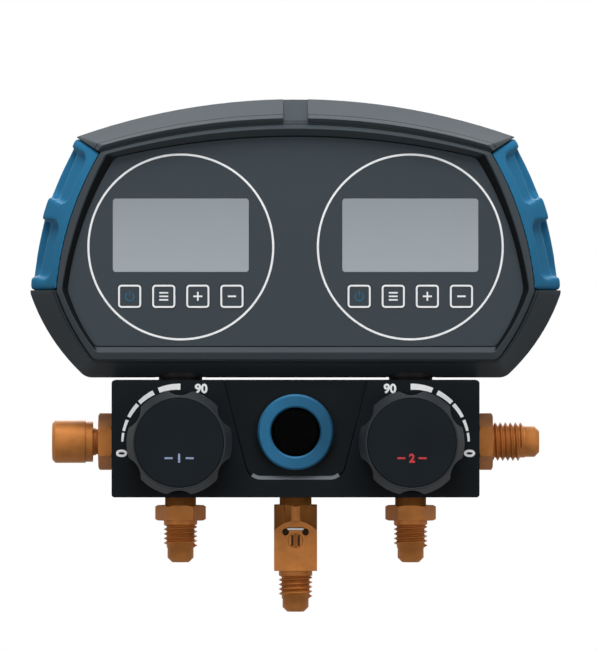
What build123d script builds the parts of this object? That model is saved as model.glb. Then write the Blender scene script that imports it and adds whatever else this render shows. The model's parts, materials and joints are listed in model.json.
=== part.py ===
from build123d import *
from math import cos, hypot, radians, sin
from typing import NamedTuple
import os

# Digital two-valve refrigerant manifold gauge, in millimetres.
# +X runs along the block towards the high-pressure side, +Y runs from the display to the
# back and +Z is up.  The origin is on the service port's axis, at the outer end of its
# thread, so every height below is counted from there.

# ---------------------------------------------------------------- driving dimensions
# Manifold block
BLOCK_WIDTH = 119.3
BLOCK_DEPTH = 34.0
BLOCK_HEIGHT = 38.0
BLOCK_EDGE = 1.0
BLOCK_BASE_Z = 33.0
VALVE_X = 37.5          # knobs, bottom ports and sensors share this offset
VALVE_RISE = 17.9       # valve axes and side ports above the block's underside
SIGHT_RISE = 21.2

# SAE flare ends: thread radius, nose radius, bore radius
QUARTER_FLARE = (5.556, 4.25, 2.4)
FIVE_SIXTEENTHS_FLARE = (6.35, 5.2, 3.0)
NOSE_CHAMFER = 1.4

# Display head
CASE_GAP = 0.8          # daylight between the block and the head
LIP_Y = -20.0           # inner edge of the lip, the head's foremost line
LIP_EDGE_Y = -19.4      # the lip slopes back to this depth at its outer edge
BEVEL_Y = -4.0          # where the front bevels end and the head is widest
SPLIT_Y = 0.0           # joint between the two shells, through the sensor necks
ROUND_Y = 13.0          # where the back edge starts to turn in
BACK_Y = 20.0
WALL = 2.4
GRIP_DEPTH = 4.4        # rubber let into the flanks
PLATE_Y = -17.0
PLATE_THICK = 1.5
WEB_THICK = 2.0

# Displays and keys
DISPLAY_X = 37.2
DISPLAY_RISE = 46.2
WINDOW = (44.2, 23.9)
KEY_RISE = 26.4
KEY_SIZE = 7.6
KEY_PITCH = 11.05
KEY_TRAVEL = 0.5
KEY_NAMES = ("power", "menu", "plus", "minus")

# Knobs
KNOB_RADIUS = 17.0
KNOB_WAIST = 15.3
KNOB_BACK_Y = -18.0
KNOB_FRONT_Y = -36.0
CAP_RADIUS = 14.45
LOBES = 6

# ---------------------------------------------------------------- derived positions
BLOCK_TOP_Z = BLOCK_BASE_Z + BLOCK_HEIGHT
BLOCK_FRONT_Y = -BLOCK_DEPTH / 2
VALVE_Z = BLOCK_BASE_Z + VALVE_RISE
SIGHT_Z = BLOCK_BASE_Z + SIGHT_RISE
CASE_BASE_Z = BLOCK_TOP_Z + CASE_GAP
DISPLAY_Z = CASE_BASE_Z + DISPLAY_RISE
KEY_Z = CASE_BASE_Z + KEY_RISE
PLATE_BACK_Y = PLATE_Y + PLATE_THICK
WEB_BACK_Y = PLATE_BACK_Y + WEB_THICK
SIDES = {"low": -1, "high": 1}

os.makedirs("parts", exist_ok=True)


def save(piece, label):
    """Label a finished piece and write it as its own STEP file."""
    piece.part.label = label
    export_step(piece.part, f"parts/{label}.step")


def frontal(y):
    """Plane at depth y that faces the user: local x is +X, local y is +Z, normal is -Y."""
    return Plane.XZ.offset(-y)


def mirrored(points):
    """Each (x, z) point, and its mirror image across the centre line."""
    return [(side * x, z) for x, z in points for side in (-1, 1)]


# ================================================================ display head outlines
class Outline(NamedTuple):
    """Right half of the head's six-sided front view; heights count from the case base."""
    crown: float        # top arc on the centre line
    top: tuple          # upper corner
    side: tuple         # widest corner
    base: tuple         # lower corner
    bulge: float        # bow of the long flank above the widest corner
    belly: float        # bow of the short flank below it
    radii: tuple        # rounding of the upper, widest and lower corner


WIDE = Outline(90.5, (71.3, 78.2), (86.4, 27.6), (68.2, 0.0), 2.5, 2.15, (1.5, 4.0, 5.0))
GROOVE = Outline(82.85, (63.7, 73.9), (77.9, 28.2), (65.6, 5.5), 2.75, 1.1, (1.5, 5.0, 3.0))
LIP = Outline(81.95, (63.2, 73.0), (77.4, 28.2), (65.4, 5.9), 2.75, 1.0, (1.5, 5.0, 3.0))
RIM = Outline(80.65, (61.6, 72.4), (75.9, 28.4), (64.6, 8.2), 2.0, 1.0, (1.5, 5.0, 2.0))
PLATE = Outline(78.1, (58.6, 71.3), (73.9, 28.6), (65.0, 10.3), 2.5, 0.9, (4.0, 5.0, 2.0))
RIDGE = WIDE._replace(bulge=3.3)
SEAM_RISE = 28.4        # the grips end here, on top of the widest corner


def inward(start, end):
    """Unit normal of an edge of the right half, pointing into the outline."""
    run, rise = end[0] - start[0], end[1] - start[1]
    length = hypot(run, rise)
    return rise / length, -run / length


def mitre(before, corner, after, first, second):
    """Corner of two neighbouring edges that move inwards by first and second."""
    ax, az = inward(before, corner)
    bx, bz = inward(corner, after)
    det = ax * bz - az * bx
    return corner[0] + (first * bz - second * az) / det, corner[1] + (ax * second - bx * first) / det


def inset(outline, ends, flank, flank_below=None):
    """Shrink an outline: ends for top and bottom, flank for the long side above the corner."""
    below = ends if flank_below is None else flank_below
    crown = (0.0, outline.crown)
    foot = (0.0, outline.base[1])
    return outline._replace(
        crown=outline.crown - ends,
        top=mitre(crown, outline.top, outline.side, ends, flank),
        side=mitre(outline.top, outline.side, outline.base, flank, below),
        base=mitre(outline.side, outline.base, foot, below, ends),
    )


def bowed(start, end, bow):
    """Middle of an edge of the right half, moved outwards by its bow."""
    in_x, in_z = inward(start, end)
    return Vector(
        (start[0] + end[0]) / 2 - in_x * bow,
        CASE_BASE_Z + (start[1] + end[1]) / 2 - in_z * bow,
    )


def head_section(outline, y):
    """The outline as a face at depth y."""
    right = [Vector(x, CASE_BASE_Z + rise) for x, rise in (outline.top, outline.side, outline.base)]
    left = [Vector(-corner.X, corner.Y) for corner in right]
    flank = bowed(outline.top, outline.side, outline.bulge)
    belly = bowed(outline.side, outline.base, outline.belly)
    with BuildSketch(frontal(y)) as section:
        with BuildLine():
            ThreePointArc(left[0], (0, CASE_BASE_Z + outline.crown), right[0])
            ThreePointArc(right[0], flank, right[1])
            ThreePointArc(right[1], belly, right[2])
            Line(right[2], left[2])
            ThreePointArc(left[2], (-belly.X, belly.Y), left[1])
            ThreePointArc(left[1], (-flank.X, flank.Y), left[0])
        make_face()
        across = section.vertices().sort_by(Axis.X)
        fillet([across[0], across[-1]], outline.radii[1])
        fillet(section.vertices().group_by(Axis.Y)[-1], outline.radii[0])
        fillet(section.vertices().group_by(Axis.Y)[0], outline.radii[2])
    return section.sketch


def head_loft(*stations):
    """Straight-sided body through (outline, depth) stations, from front to back."""
    with BuildPart() as body:
        for (near, near_y), (far, far_y) in zip(stations, stations[1:]):
            loft([head_section(near, near_y), head_section(far, far_y)], ruled=True)
    return body.part


# ================================================================ shared head volumes
GRIP_BACK_Y = 12.0
GRIP_STEP_Y = -13.3     # behind this depth the grip keeps its full thickness
ROUNDED = inset(WIDE, 0.8, 0.8)
BACK = inset(WIDE, 6.0, 6.0)

front_outer = head_loft((RIM, LIP_Y), (LIP, LIP_EDGE_Y), (WIDE, BEVEL_Y), (WIDE, SPLIT_Y))
rear_outer = head_loft((WIDE, SPLIT_Y), (ROUNDED, ROUND_Y), (BACK, BACK_Y))
grip_core = head_loft(
    (LIP, LIP_Y - 1),
    (LIP, GRIP_STEP_Y),
    (inset(WIDE, 0, GRIP_DEPTH, 0), BEVEL_Y),
    (inset(WIDE, 0, GRIP_DEPTH + 0.8, 0), GRIP_BACK_Y + 1),
)
grip_outer = head_loft((LIP, LIP_EDGE_Y), (RIDGE, BEVEL_Y), (inset(RIDGE, 0.8, 0.8), GRIP_BACK_Y + 1))
VALLEY = 2.7            # finger valleys lie this far inside the shell's own surface
valley_floor = head_loft(
    (inset(LIP, 0, VALLEY), LIP_EDGE_Y),
    (inset(WIDE, 0, VALLEY), BEVEL_Y),
    (inset(WIDE, 0.8, VALLEY + 0.8), GRIP_BACK_Y + 1),
)

# The slanted seam at the top of each grip runs through the upper corners of lip and case.
SEAM_START = Vector(LIP.top[0], CASE_BASE_Z + LIP.top[1])
SEAM_END = Vector(WIDE.top[0], CASE_BASE_Z + WIDE.top[1])
SEAM_RUN = (SEAM_END - SEAM_START).normalized()
SEAM_REACH = 14.0       # cutting shapes run past both ends of the seam


def flank_zone(side):
    """Front view of the region that one grip fills."""
    seam_in = SEAM_START - SEAM_RUN * SEAM_REACH
    seam_out = SEAM_END + SEAM_RUN * SEAM_REACH
    beyond = WIDE.side[0] + SEAM_REACH
    floor_z = CASE_BASE_Z + SEAM_RISE
    points = [
        (seam_in.X, seam_in.Y), (seam_out.X, seam_out.Y), (beyond, seam_out.Y),
        (beyond, floor_z), (seam_in.X, floor_z),
    ]
    with BuildSketch(frontal(LIP_EDGE_Y)) as zone:
        with BuildLine():
            Polyline(*[(side * x, z) for x, z in points], close=True)
        make_face()
    return zone.sketch


def grip_rebate(side):
    """What is cut away from both shells to make room for a grip."""
    with BuildPart() as rebate:
        extrude(flank_zone(side), amount=LIP_EDGE_Y - GRIP_BACK_Y)
        add(grip_core, mode=Mode.SUBTRACT)
    return rebate.part


grip_rebates = {side: grip_rebate(side) for side in (-1, 1)}

# ---------------------------------------------------------------- fastener and neck layout
CASE_SCREWS = mirrored([(61.0, 141.0), (72.0, 105.0), (60.0, 82.0)])
BOARD_SCREWS = mirrored([(49.0, 135.0), (45.0, 90.0)])
SCREW_POST = 4.5
SCREW_BOSS = 4.0
BOARD_POST = 2.3
BOARD_FRONT_Y = -9.4
BOARD_THICK = 1.6
NECK_RADIUS = 7.1
NECK_FLANGE = 8.9
NECK_FLANGE_TOP_Z = CASE_BASE_Z + 1.8
NECK_BOSS_TOP_Z = CASE_BASE_Z + 4.4
NECK_BOSS = 11.0


def neck_bosses():
    """Thick rings around the two sensor necks, inside the case floor."""
    with BuildPart() as bosses:
        with Locations(*[(side * VALVE_X, 0, CASE_BASE_Z) for side in (-1, 1)]):
            Cylinder(NECK_BOSS, NECK_BOSS_TOP_Z - CASE_BASE_Z, align=(Align.CENTER, Align.CENTER, Align.MIN))
    return bosses.part


def neck_holes():
    """Clearance for both necks: a through hole and a flat-topped counterbore from below."""
    with BuildPart() as holes:
        with Locations(*[(side * VALVE_X, 0, BLOCK_TOP_Z) for side in (-1, 1)]):
            Cylinder(NECK_RADIUS + 0.1, NECK_BOSS, align=(Align.CENTER, Align.CENTER, Align.MIN))
            Cylinder(
                NECK_FLANGE + 0.15, NECK_FLANGE_TOP_Z - BLOCK_TOP_Z,
                align=(Align.CENTER, Align.CENTER, Align.MIN),
            )
    return holes.part


def drill(points, radius, start_y, end_y):
    """Round holes or posts along Y, from start_y to end_y, at the given (x, z) points."""
    with BuildPart() as rods:
        with BuildSketch(frontal(start_y)):
            with Locations(*points):
                Circle(radius)
        extrude(amount=start_y - end_y)
    return rods.part


# ================================================================ front shell
KEY_XS = [side * DISPLAY_X + (index - 1.5) * KEY_PITCH for side in (-1, 1) for index in range(4)]
KEY_POINTS = [(x, KEY_Z) for x in KEY_XS]
DISPLAY_POINTS = [(side * DISPLAY_X, DISPLAY_Z) for side in (-1, 1)]
KEY_FLANGE = 8.6
PAD_Y = LIP_Y - 0.4
PAD_STEP = 2.1          # how far above the lip the top pads begin
PAD_CORNER = 1.6
GROOVE_DEPTH = 1.4
CHANNEL_WIDTH = 8.0

with BuildPart() as front_core:
    add(head_loft(
        (inset(LIP, -0.8, 2.2, 0.6), WEB_BACK_Y),
        (inset(WIDE, WALL, WALL + GRIP_DEPTH), BEVEL_Y),
        (inset(WIDE, WALL, WALL + GRIP_DEPTH), SPLIT_Y),
    ))
    add(drill(CASE_SCREWS, SCREW_BOSS, WEB_BACK_Y, SPLIT_Y), mode=Mode.SUBTRACT)
    add(drill(BOARD_SCREWS, BOARD_POST, WEB_BACK_Y, BOARD_FRONT_Y), mode=Mode.SUBTRACT)
    add(neck_bosses(), mode=Mode.SUBTRACT)

with BuildPart() as lip_groove:
    add(head_loft((GROOVE, LIP_Y), (GROOVE, LIP_EDGE_Y + GROOVE_DEPTH)))
    add(head_loft((LIP, LIP_Y - 1), (LIP, LIP_EDGE_Y + GROOVE_DEPTH + 1)), mode=Mode.SUBTRACT)

with BuildPart() as pad_underside:
    add(head_loft((inset(LIP, -PAD_STEP, -PAD_STEP), PAD_Y), (LIP, LIP_Y + 1)))

with BuildPart() as top_pads:
    pad_front = inset(LIP, -PAD_STEP, 0)
    add(head_loft((pad_front, PAD_Y), (inset(WIDE, -0.15, 0), BEVEL_Y)))
    add(pad_underside.part, mode=Mode.SUBTRACT)
    # keep what lies above both slanted seams and outside the middle channel
    with BuildSketch(frontal(PAD_Y)) as pad_zone:
        seam_in = SEAM_START - SEAM_RUN * SEAM_REACH
        seam_out = SEAM_END + SEAM_RUN * SEAM_REACH
        channel = CHANNEL_WIDTH / 2
        above = CASE_BASE_Z + WIDE.crown + SEAM_REACH
        with BuildLine():
            Polyline(
                (channel, seam_in.Y), (seam_in.X, seam_in.Y), (seam_out.X, seam_out.Y),
                (seam_out.X, above), (channel, above), close=True,
            )
        make_face()
        mirror(about=Plane.YZ)
    extrude(amount=PAD_Y - BEVEL_Y, mode=Mode.INTERSECT)
    # round the two lower corners beside the channel
    beside = top_pads.edges().filter_by(lambda edge: abs(abs(edge.center().X) - CHANNEL_WIDTH / 2) < 0.01)
    lowest = beside.filter_by(lambda edge: edge.bounding_box().size.Y > 5).group_by(Axis.Z)[0]
    fillet(lowest, PAD_CORNER)

with BuildPart() as front_shell:
    add(front_outer)
    add(top_pads.part)
    add(lip_groove.part, mode=Mode.SUBTRACT)
    # sloping wall down to the face plate, then the plate's own seat
    add(head_loft(
        (RIM, LIP_Y),
        (inset(PLATE, -0.1, -0.1), PLATE_Y),
        (inset(PLATE, -0.1, -0.1), PLATE_BACK_Y),
    ), mode=Mode.SUBTRACT)
    add(front_core.part, mode=Mode.SUBTRACT)
    for rebate in grip_rebates.values():
        add(rebate, mode=Mode.SUBTRACT)
    with BuildSketch(frontal(PLATE_BACK_Y)):
        with Locations(*DISPLAY_POINTS):
            Rectangle(WINDOW[0] - 2.3, WINDOW[1] - 2.2)
        with Locations(*KEY_POINTS):
            Rectangle(KEY_FLANGE + 0.4, KEY_FLANGE + 0.4)
    extrude(amount=-WEB_THICK, mode=Mode.SUBTRACT)
    add(neck_holes(), mode=Mode.SUBTRACT)
    add(drill(CASE_SCREWS, 1.5, -11.0, SPLIT_Y), mode=Mode.SUBTRACT)
    add(drill(BOARD_SCREWS, 1.0, -12.5, BOARD_FRONT_Y), mode=Mode.SUBTRACT)
save(front_shell, "front_shell")

# ================================================================ rear shell
BAY_FLOOR_Y = 7.5
BAY_HALF_WIDTH = 49.0
BAY_Z = (81.5, 105.5)
BAY_WALL = 3.0
BAY_FLOOR = 1.5
DOOR_Y = 18.0
HINGE_Y = 17.0
HINGE_Z = 151.0
HOOK_WIDTH = 8.0
HOOK_THICK = 4.0
HOOK_BARREL = 2.8
HOOK_RING = (14.0, 9.5)
HOOK_MOUTH = (125.0, 180.0)  # the ring is open between these angles
HOOK_DROP = 26.0        # from the hinge to the centre of the ring
NICHE_Y = 13.8
NICHE_HALF_WIDTH = 15.5
NICHE_Z = (109.5, 142.0)
PIN_RADIUS = 1.5
PIN_LENGTH = 18.0
SCREW_SEAT_Y = 8.0


def block_between(x, y, z):
    """Box between the given (low, high) pairs."""
    with BuildPart() as block:
        with Locations(((x[0] + x[1]) / 2, (y[0] + y[1]) / 2, (z[0] + z[1]) / 2)):
            Box(x[1] - x[0], y[1] - y[0], z[1] - z[0])
    return block.part


def symmetric(half):
    """(low, high) pair centred on zero."""
    return -half, half


with BuildPart() as rear_core:
    add(head_loft(
        (inset(WIDE, WALL, WALL + GRIP_DEPTH), SPLIT_Y),
        (inset(WIDE, WALL + 0.7, WALL + GRIP_DEPTH + 0.7), GRIP_BACK_Y),
        (inset(WIDE, 7.0, 7.4, 7.0), DOOR_Y),
    ))
    add(drill(CASE_SCREWS, SCREW_POST, SPLIT_Y, DOOR_Y), mode=Mode.SUBTRACT)
    add(neck_bosses(), mode=Mode.SUBTRACT)
    add(block_between(
        symmetric(BAY_HALF_WIDTH + BAY_WALL),
        (BAY_FLOOR_Y - BAY_FLOOR, DOOR_Y),
        (BAY_Z[0] - BAY_WALL, BAY_Z[1] + BAY_WALL),
    ), mode=Mode.SUBTRACT)
    add(block_between(
        symmetric(NICHE_HALF_WIDTH + BAY_FLOOR),
        (NICHE_Y - BAY_FLOOR, DOOR_Y),
        (NICHE_Z[0] - 2, NICHE_Z[1] + 1.5),
    ), mode=Mode.SUBTRACT)
    add(block_between(
        symmetric(PIN_LENGTH / 2 + 1.5),
        (NICHE_Y - 1.8, DOOR_Y),
        (NICHE_Z[1], CASE_BASE_Z + WIDE.crown),
    ), mode=Mode.SUBTRACT)

with BuildPart() as rear_shell:
    add(rear_outer)
    add(rear_core.part, mode=Mode.SUBTRACT)
    for rebate in grip_rebates.values():
        add(rebate, mode=Mode.SUBTRACT)
    add(neck_holes(), mode=Mode.SUBTRACT)
    add(drill(CASE_SCREWS, 1.7, SPLIT_Y, SCREW_SEAT_Y), mode=Mode.SUBTRACT)
    add(drill(CASE_SCREWS, 3.2, SCREW_SEAT_Y, BACK_Y), mode=Mode.SUBTRACT)
    # battery bay and the rebate for its door
    add(block_between(symmetric(BAY_HALF_WIDTH), (BAY_FLOOR_Y, DOOR_Y), BAY_Z), mode=Mode.SUBTRACT)
    with BuildSketch(frontal(DOOR_Y)):
        with Locations((0, (BAY_Z[0] + BAY_Z[1]) / 2)):
            RectangleRounded(2 * BAY_HALF_WIDTH + 4, BAY_Z[1] - BAY_Z[0] + 4, 2)
    extrude(amount=DOOR_Y - BACK_Y, mode=Mode.SUBTRACT)
    # niche that the hanging hook folds into, and its channel over the top edge
    with BuildSketch(frontal(NICHE_Y)):
        with Locations((0, (NICHE_Z[0] + NICHE_Z[1]) / 2)):
            RectangleRounded(2 * NICHE_HALF_WIDTH, NICHE_Z[1] - NICHE_Z[0], 6)
        with Locations((0, NICHE_Z[1] - 1)):
            Rectangle(HOOK_WIDTH + 0.6, WIDE.crown, align=(Align.CENTER, Align.MIN))
    extrude(amount=NICHE_Y - BACK_Y, mode=Mode.SUBTRACT)
    with Locations((0, HINGE_Y, HINGE_Z)):
        Cylinder(PIN_RADIUS, PIN_LENGTH, rotation=(0, 90, 0), mode=Mode.SUBTRACT)
save(rear_shell, "rear_shell")

# ================================================================ grips
VALLEY_FRONT_Y = -14.0
VALLEY_BACK_Y = 8.5
# Each valley: its centre on the flank (distance from the middle, height above the case
# base), its length along the flank and its tilt.
VALLEYS = ((80.5, 41.6, 18.6, 9.0), (73.5, 65.3, 17.2, 28.0))

for side, name in ((-1, "grip_left"), (1, "grip_right")):
    with BuildPart() as scoops:
        for reach, rise, length, tilt in VALLEYS:
            band = Plane(
                origin=(side * reach, 0, CASE_BASE_Z + rise),
                x_dir=(0, 1, 0),
                z_dir=(side * cos(radians(tilt)), 0, sin(radians(tilt))),
            )
            with BuildSketch(band):
                with Locations(((VALLEY_FRONT_Y + VALLEY_BACK_Y) / 2, 0)):
                    RectangleRounded(VALLEY_BACK_Y - VALLEY_FRONT_Y, length, 4)
            extrude(amount=20, both=True)
        add(valley_floor, mode=Mode.SUBTRACT)
    with BuildPart() as grip:
        add(grip_rebates[side])
        add(grip_outer, mode=Mode.INTERSECT)
        add(scoops.part, mode=Mode.SUBTRACT)
    save(grip, name)

# ================================================================ face plate, displays and keys
with BuildPart() as face_plate:
    add(head_loft((PLATE, PLATE_Y), (PLATE, PLATE_BACK_Y)))
    with BuildSketch(frontal(PLATE_Y)):
        with Locations(*DISPLAY_POINTS):
            RectangleRounded(*WINDOW, 1)
        with Locations(*KEY_POINTS):
            RectangleRounded(KEY_SIZE + 0.3, KEY_SIZE + 0.3, 1.2)
    extrude(amount=-PLATE_THICK, mode=Mode.SUBTRACT)
save(face_plate, "face_plate")

with BuildPart() as display_lenses:
    with BuildSketch(frontal(PLATE_Y)):
        with Locations(*DISPLAY_POINTS):
            RectangleRounded(WINDOW[0] - 0.1, WINDOW[1] - 0.1, 1)
    extrude(amount=-PLATE_THICK)
save(display_lenses, "display_lenses")

LCD_THICK = 2.6
LCD_MARGIN = 4.0
for point, name in zip(DISPLAY_POINTS, ("lcd_left", "lcd_right")):
    with BuildPart() as lcd:
        with BuildSketch(frontal(WEB_BACK_Y)):
            with Locations(point):
                Rectangle(WINDOW[0] + LCD_MARGIN, WINDOW[1] + LCD_MARGIN)
        extrude(amount=-LCD_THICK)
    save(lcd, name)

KEY_FLANGE_Y = PLATE_BACK_Y + 0.1
KEY_FLANGE_THICK = 0.8
KEY_STEM_END_Y = WEB_BACK_Y - 0.5
KEY_STEM = 4.0
KEY_CORNER = 1.1
for index, x in enumerate(KEY_XS):
    with BuildPart() as key:
        with BuildSketch(frontal(KEY_FLANGE_Y)):
            with Locations((x, KEY_Z)):
                RectangleRounded(KEY_SIZE, KEY_SIZE, KEY_CORNER)
        extrude(amount=KEY_FLANGE_Y - PLATE_Y + 0.1)
        with BuildSketch(frontal(KEY_FLANGE_Y)):
            with Locations((x, KEY_Z)):
                RectangleRounded(KEY_FLANGE, KEY_FLANGE, KEY_CORNER)
        extrude(amount=-KEY_FLANGE_THICK)
        with BuildSketch(frontal(KEY_FLANGE_Y + KEY_FLANGE_THICK)):
            with Locations((x, KEY_Z)):
                Rectangle(KEY_STEM, KEY_STEM)
        extrude(amount=KEY_FLANGE_Y + KEY_FLANGE_THICK - KEY_STEM_END_Y)
    save(key, f"key_{('left', 'right')[index // 4]}_{KEY_NAMES[index % 4]}")

DOME_TOP_Y = KEY_STEM_END_Y + KEY_TRAVEL + 0.1
DOME_RADIUS = 3.2
DOME_TAPER = 12.0
MAT_THICK = 1.2
MAT_HEIGHT = 10.4
with BuildPart() as keypad:
    with BuildSketch(frontal(BOARD_FRONT_Y)):
        with Locations((0, KEY_Z)):
            RectangleRounded(2 * KEY_XS[-1] + KEY_PITCH, MAT_HEIGHT, 2)
    extrude(amount=MAT_THICK)
    with BuildSketch(frontal(BOARD_FRONT_Y - MAT_THICK)):
        with Locations(*KEY_POINTS):
            Circle(DOME_RADIUS)
    extrude(amount=BOARD_FRONT_Y - MAT_THICK - DOME_TOP_Y, taper=DOME_TAPER)
save(keypad, "keypad")

BOARD_HALF_WIDTH = 61.0
BOARD_Z = (87.0, 136.8)
with BuildPart() as main_board:
    with BuildSketch(frontal(BOARD_FRONT_Y)):
        with Locations((0, (BOARD_Z[0] + BOARD_Z[1]) / 2)):
            RectangleRounded(2 * BOARD_HALF_WIDTH, BOARD_Z[1] - BOARD_Z[0], 2)
        with Locations(*BOARD_SCREWS):
            Circle(1.1, mode=Mode.SUBTRACT)
    extrude(amount=-BOARD_THICK)
save(main_board, "main_board")

# ================================================================ screws
BOARD_BACK_Y = BOARD_FRONT_Y + BOARD_THICK


def screws(points, shank, head, head_height, seat_y, tip_y):
    """Pan-head screws driven in from the back, seated at seat_y."""
    with BuildPart() as group:
        with BuildSketch(frontal(seat_y)):
            with Locations(*points):
                Circle(shank)
        extrude(amount=seat_y - tip_y)
        with BuildSketch(frontal(seat_y)):
            with Locations(*points):
                Circle(head)
        extrude(amount=-head_height)
    return group


save(screws(CASE_SCREWS, 1.5, 2.8, 2.2, SCREW_SEAT_Y, -10.0), "case_screws")
save(screws(BOARD_SCREWS, 1.0, 1.9, 1.4, BOARD_BACK_Y, -12.4), "board_screws")

# ================================================================ battery compartment
CELL_RADIUS = 5.2
CELL_LENGTH = 43.7
NUB = (2.75, 0.8)
CELL_Y = BAY_FLOOR_Y + CELL_RADIUS
CELL_ZS = [(BAY_Z[0] + BAY_Z[1]) / 2 + offset for offset in (-5.75, 5.75)]
CELL_START = 1.2
CONTACT_THICK = 0.6
SPRING_END = BAY_HALF_WIDTH - CONTACT_THICK


def along_x(side, start, end, radius, inner=0.0):
    """Rods or tubes on the cells' axes, from start to end on one side of the centre."""
    with BuildPart() as rods:
        with BuildSketch(Plane.YZ.offset(side * start)):
            with Locations(*[(CELL_Y, z) for z in CELL_ZS]):
                Circle(radius)
                if inner:
                    Circle(inner, mode=Mode.SUBTRACT)
        extrude(amount=side * (end - start))
    return rods.part


with BuildPart() as batteries:
    for side in (-1, 1):
        add(along_x(side, CELL_START, CELL_START + CELL_LENGTH, CELL_RADIUS))
        add(along_x(side, CELL_START - NUB[1], CELL_START, NUB[0]))
save(batteries, "batteries")

with BuildPart() as battery_springs:
    for side in (-1, 1):
        add(along_x(side, CELL_START + CELL_LENGTH, SPRING_END, 3.2, 2.4))
save(battery_springs, "battery_springs")

with BuildPart() as battery_contacts:
    plate_y = (BAY_FLOOR_Y + 0.5, DOOR_Y - 0.5)
    plate_z = (BAY_Z[0] + 0.5, BAY_Z[1] - 0.5)
    add(block_between(symmetric(CELL_START - NUB[1]), plate_y, plate_z))
    add(block_between((SPRING_END, BAY_HALF_WIDTH), plate_y, plate_z))
    add(block_between((-BAY_HALF_WIDTH, -SPRING_END), plate_y, plate_z))
save(battery_contacts, "battery_contacts")

GROOVE_COUNT = 4         # thumb grooves near the door's upper edge
GROOVE_PITCH = 2.4
GROOVE_SIZE = (24.0, 1.2)
GROOVE_CUT = 0.6

with BuildPart() as battery_door:
    with BuildSketch(frontal(DOOR_Y)):
        with Locations((0, (BAY_Z[0] + BAY_Z[1]) / 2)):
            RectangleRounded(2 * BAY_HALF_WIDTH + 3.4, BAY_Z[1] - BAY_Z[0] + 3.4, 1.8)
    extrude(amount=DOOR_Y - BACK_Y)
    with BuildSketch(frontal(BACK_Y)):
        with Locations(*[(0, BAY_Z[1] - GROOVE_PITCH * (row + 1)) for row in range(GROOVE_COUNT)]):
            Rectangle(*GROOVE_SIZE)
    extrude(amount=GROOVE_CUT, mode=Mode.SUBTRACT)
save(battery_door, "battery_door")

# ================================================================ hanging hook
with BuildPart() as hanging_hook:
    with BuildSketch(frontal(HINGE_Y - HOOK_THICK / 2)):
        with Locations((0, HINGE_Z - HOOK_DROP)):
            Circle(HOOK_RING[0])
        with Locations((0, HINGE_Z)):
            Rectangle(HOOK_WIDTH, HOOK_DROP - HOOK_RING[0] + 1.5, align=(Align.CENTER, Align.MAX))
        with Locations((0, HINGE_Z - HOOK_DROP)):
            Circle(HOOK_RING[1], mode=Mode.SUBTRACT)
        # mouth of the hook
        with BuildLine():
            ring_z = HINGE_Z - HOOK_DROP
            reach = HOOK_RING[0] + HOOK_THICK
            mouth = [(reach * cos(radians(angle)), ring_z + reach * sin(radians(angle))) for angle in HOOK_MOUTH]
            Polyline((0, ring_z), *mouth, close=True)
        make_face(mode=Mode.SUBTRACT)
    extrude(amount=-HOOK_THICK)
    with Locations((0, HINGE_Y, HINGE_Z)):
        Cylinder(HOOK_BARREL, HOOK_WIDTH, rotation=(0, 90, 0))
        Cylinder(PIN_RADIUS + 0.1, HOOK_WIDTH, rotation=(0, 90, 0), mode=Mode.SUBTRACT)
save(hanging_hook, "hanging_hook")

with BuildPart() as hook_pin:
    with Locations((0, HINGE_Y, HINGE_Z)):
        Cylinder(PIN_RADIUS, PIN_LENGTH, rotation=(0, 90, 0))
save(hook_pin, "hook_pin")

# ================================================================ pressure sensors and necks
SENSOR_SHANK = 4.8
SENSOR_BODY = 5.5
SENSOR_DEPTH = 10.0
SENSOR_HEIGHT = 8.5      # above the block
SENSOR_INLET = 0.8
SENSOR_PLUG = 4.2
PLUG_HEIGHT = 3.5
NUT_HEIGHT = 2.0
NUT_FLATS = 19.0


def turned(plane, profile):
    """Solid of revolution about a plane's normal, from (height, radius) profile points."""
    with BuildPart() as body:
        with BuildSketch(Plane(origin=plane.origin, x_dir=plane.z_dir, z_dir=plane.x_dir)):
            with BuildLine():
                Polyline(*profile, close=True)
            make_face()
        revolve(axis=Axis(plane.origin, plane.z_dir))
    return body.part


def upright(x, z):
    """Plane at (x, 0, z) that faces up."""
    return Plane(origin=(x, 0, z), x_dir=(1, 0, 0), z_dir=(0, 0, 1))


def hexagon(plane, start, end, across_flats, rotation=0.0, corner=0.8):
    """Hexagonal prism between two heights, its corners turned off at both ends."""
    with BuildPart() as prism:
        with BuildSketch(plane.offset(start)):
            RegularPolygon(across_flats / 2, 6, major_radius=False, rotation=rotation)
        extrude(amount=end - start)
        tip = across_flats / 2 / cos(radians(30)) + 0.01
        rim = tip - corner
        slope = corner * 0.58
        envelope = [(start, 0), (start, rim), (start + slope, tip), (end - slope, tip), (end, rim), (end, 0)]
        add(turned(plane, envelope), mode=Mode.INTERSECT)
    return prism.part


for name, side in SIDES.items():
    with BuildPart() as sensor:
        add(turned(upright(side * VALVE_X, BLOCK_TOP_Z), [
            (-SENSOR_DEPTH, SENSOR_INLET), (-SENSOR_DEPTH, SENSOR_SHANK), (0, SENSOR_SHANK), (0, SENSOR_BODY),
            (SENSOR_HEIGHT, SENSOR_BODY), (SENSOR_HEIGHT, SENSOR_PLUG),
            (SENSOR_HEIGHT + PLUG_HEIGHT, SENSOR_PLUG), (SENSOR_HEIGHT + PLUG_HEIGHT, 0),
            (-SENSOR_DEPTH / 2, 0), (-SENSOR_DEPTH / 2, SENSOR_INLET),
        ]))
    save(sensor, f"{name}_sensor")

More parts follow.
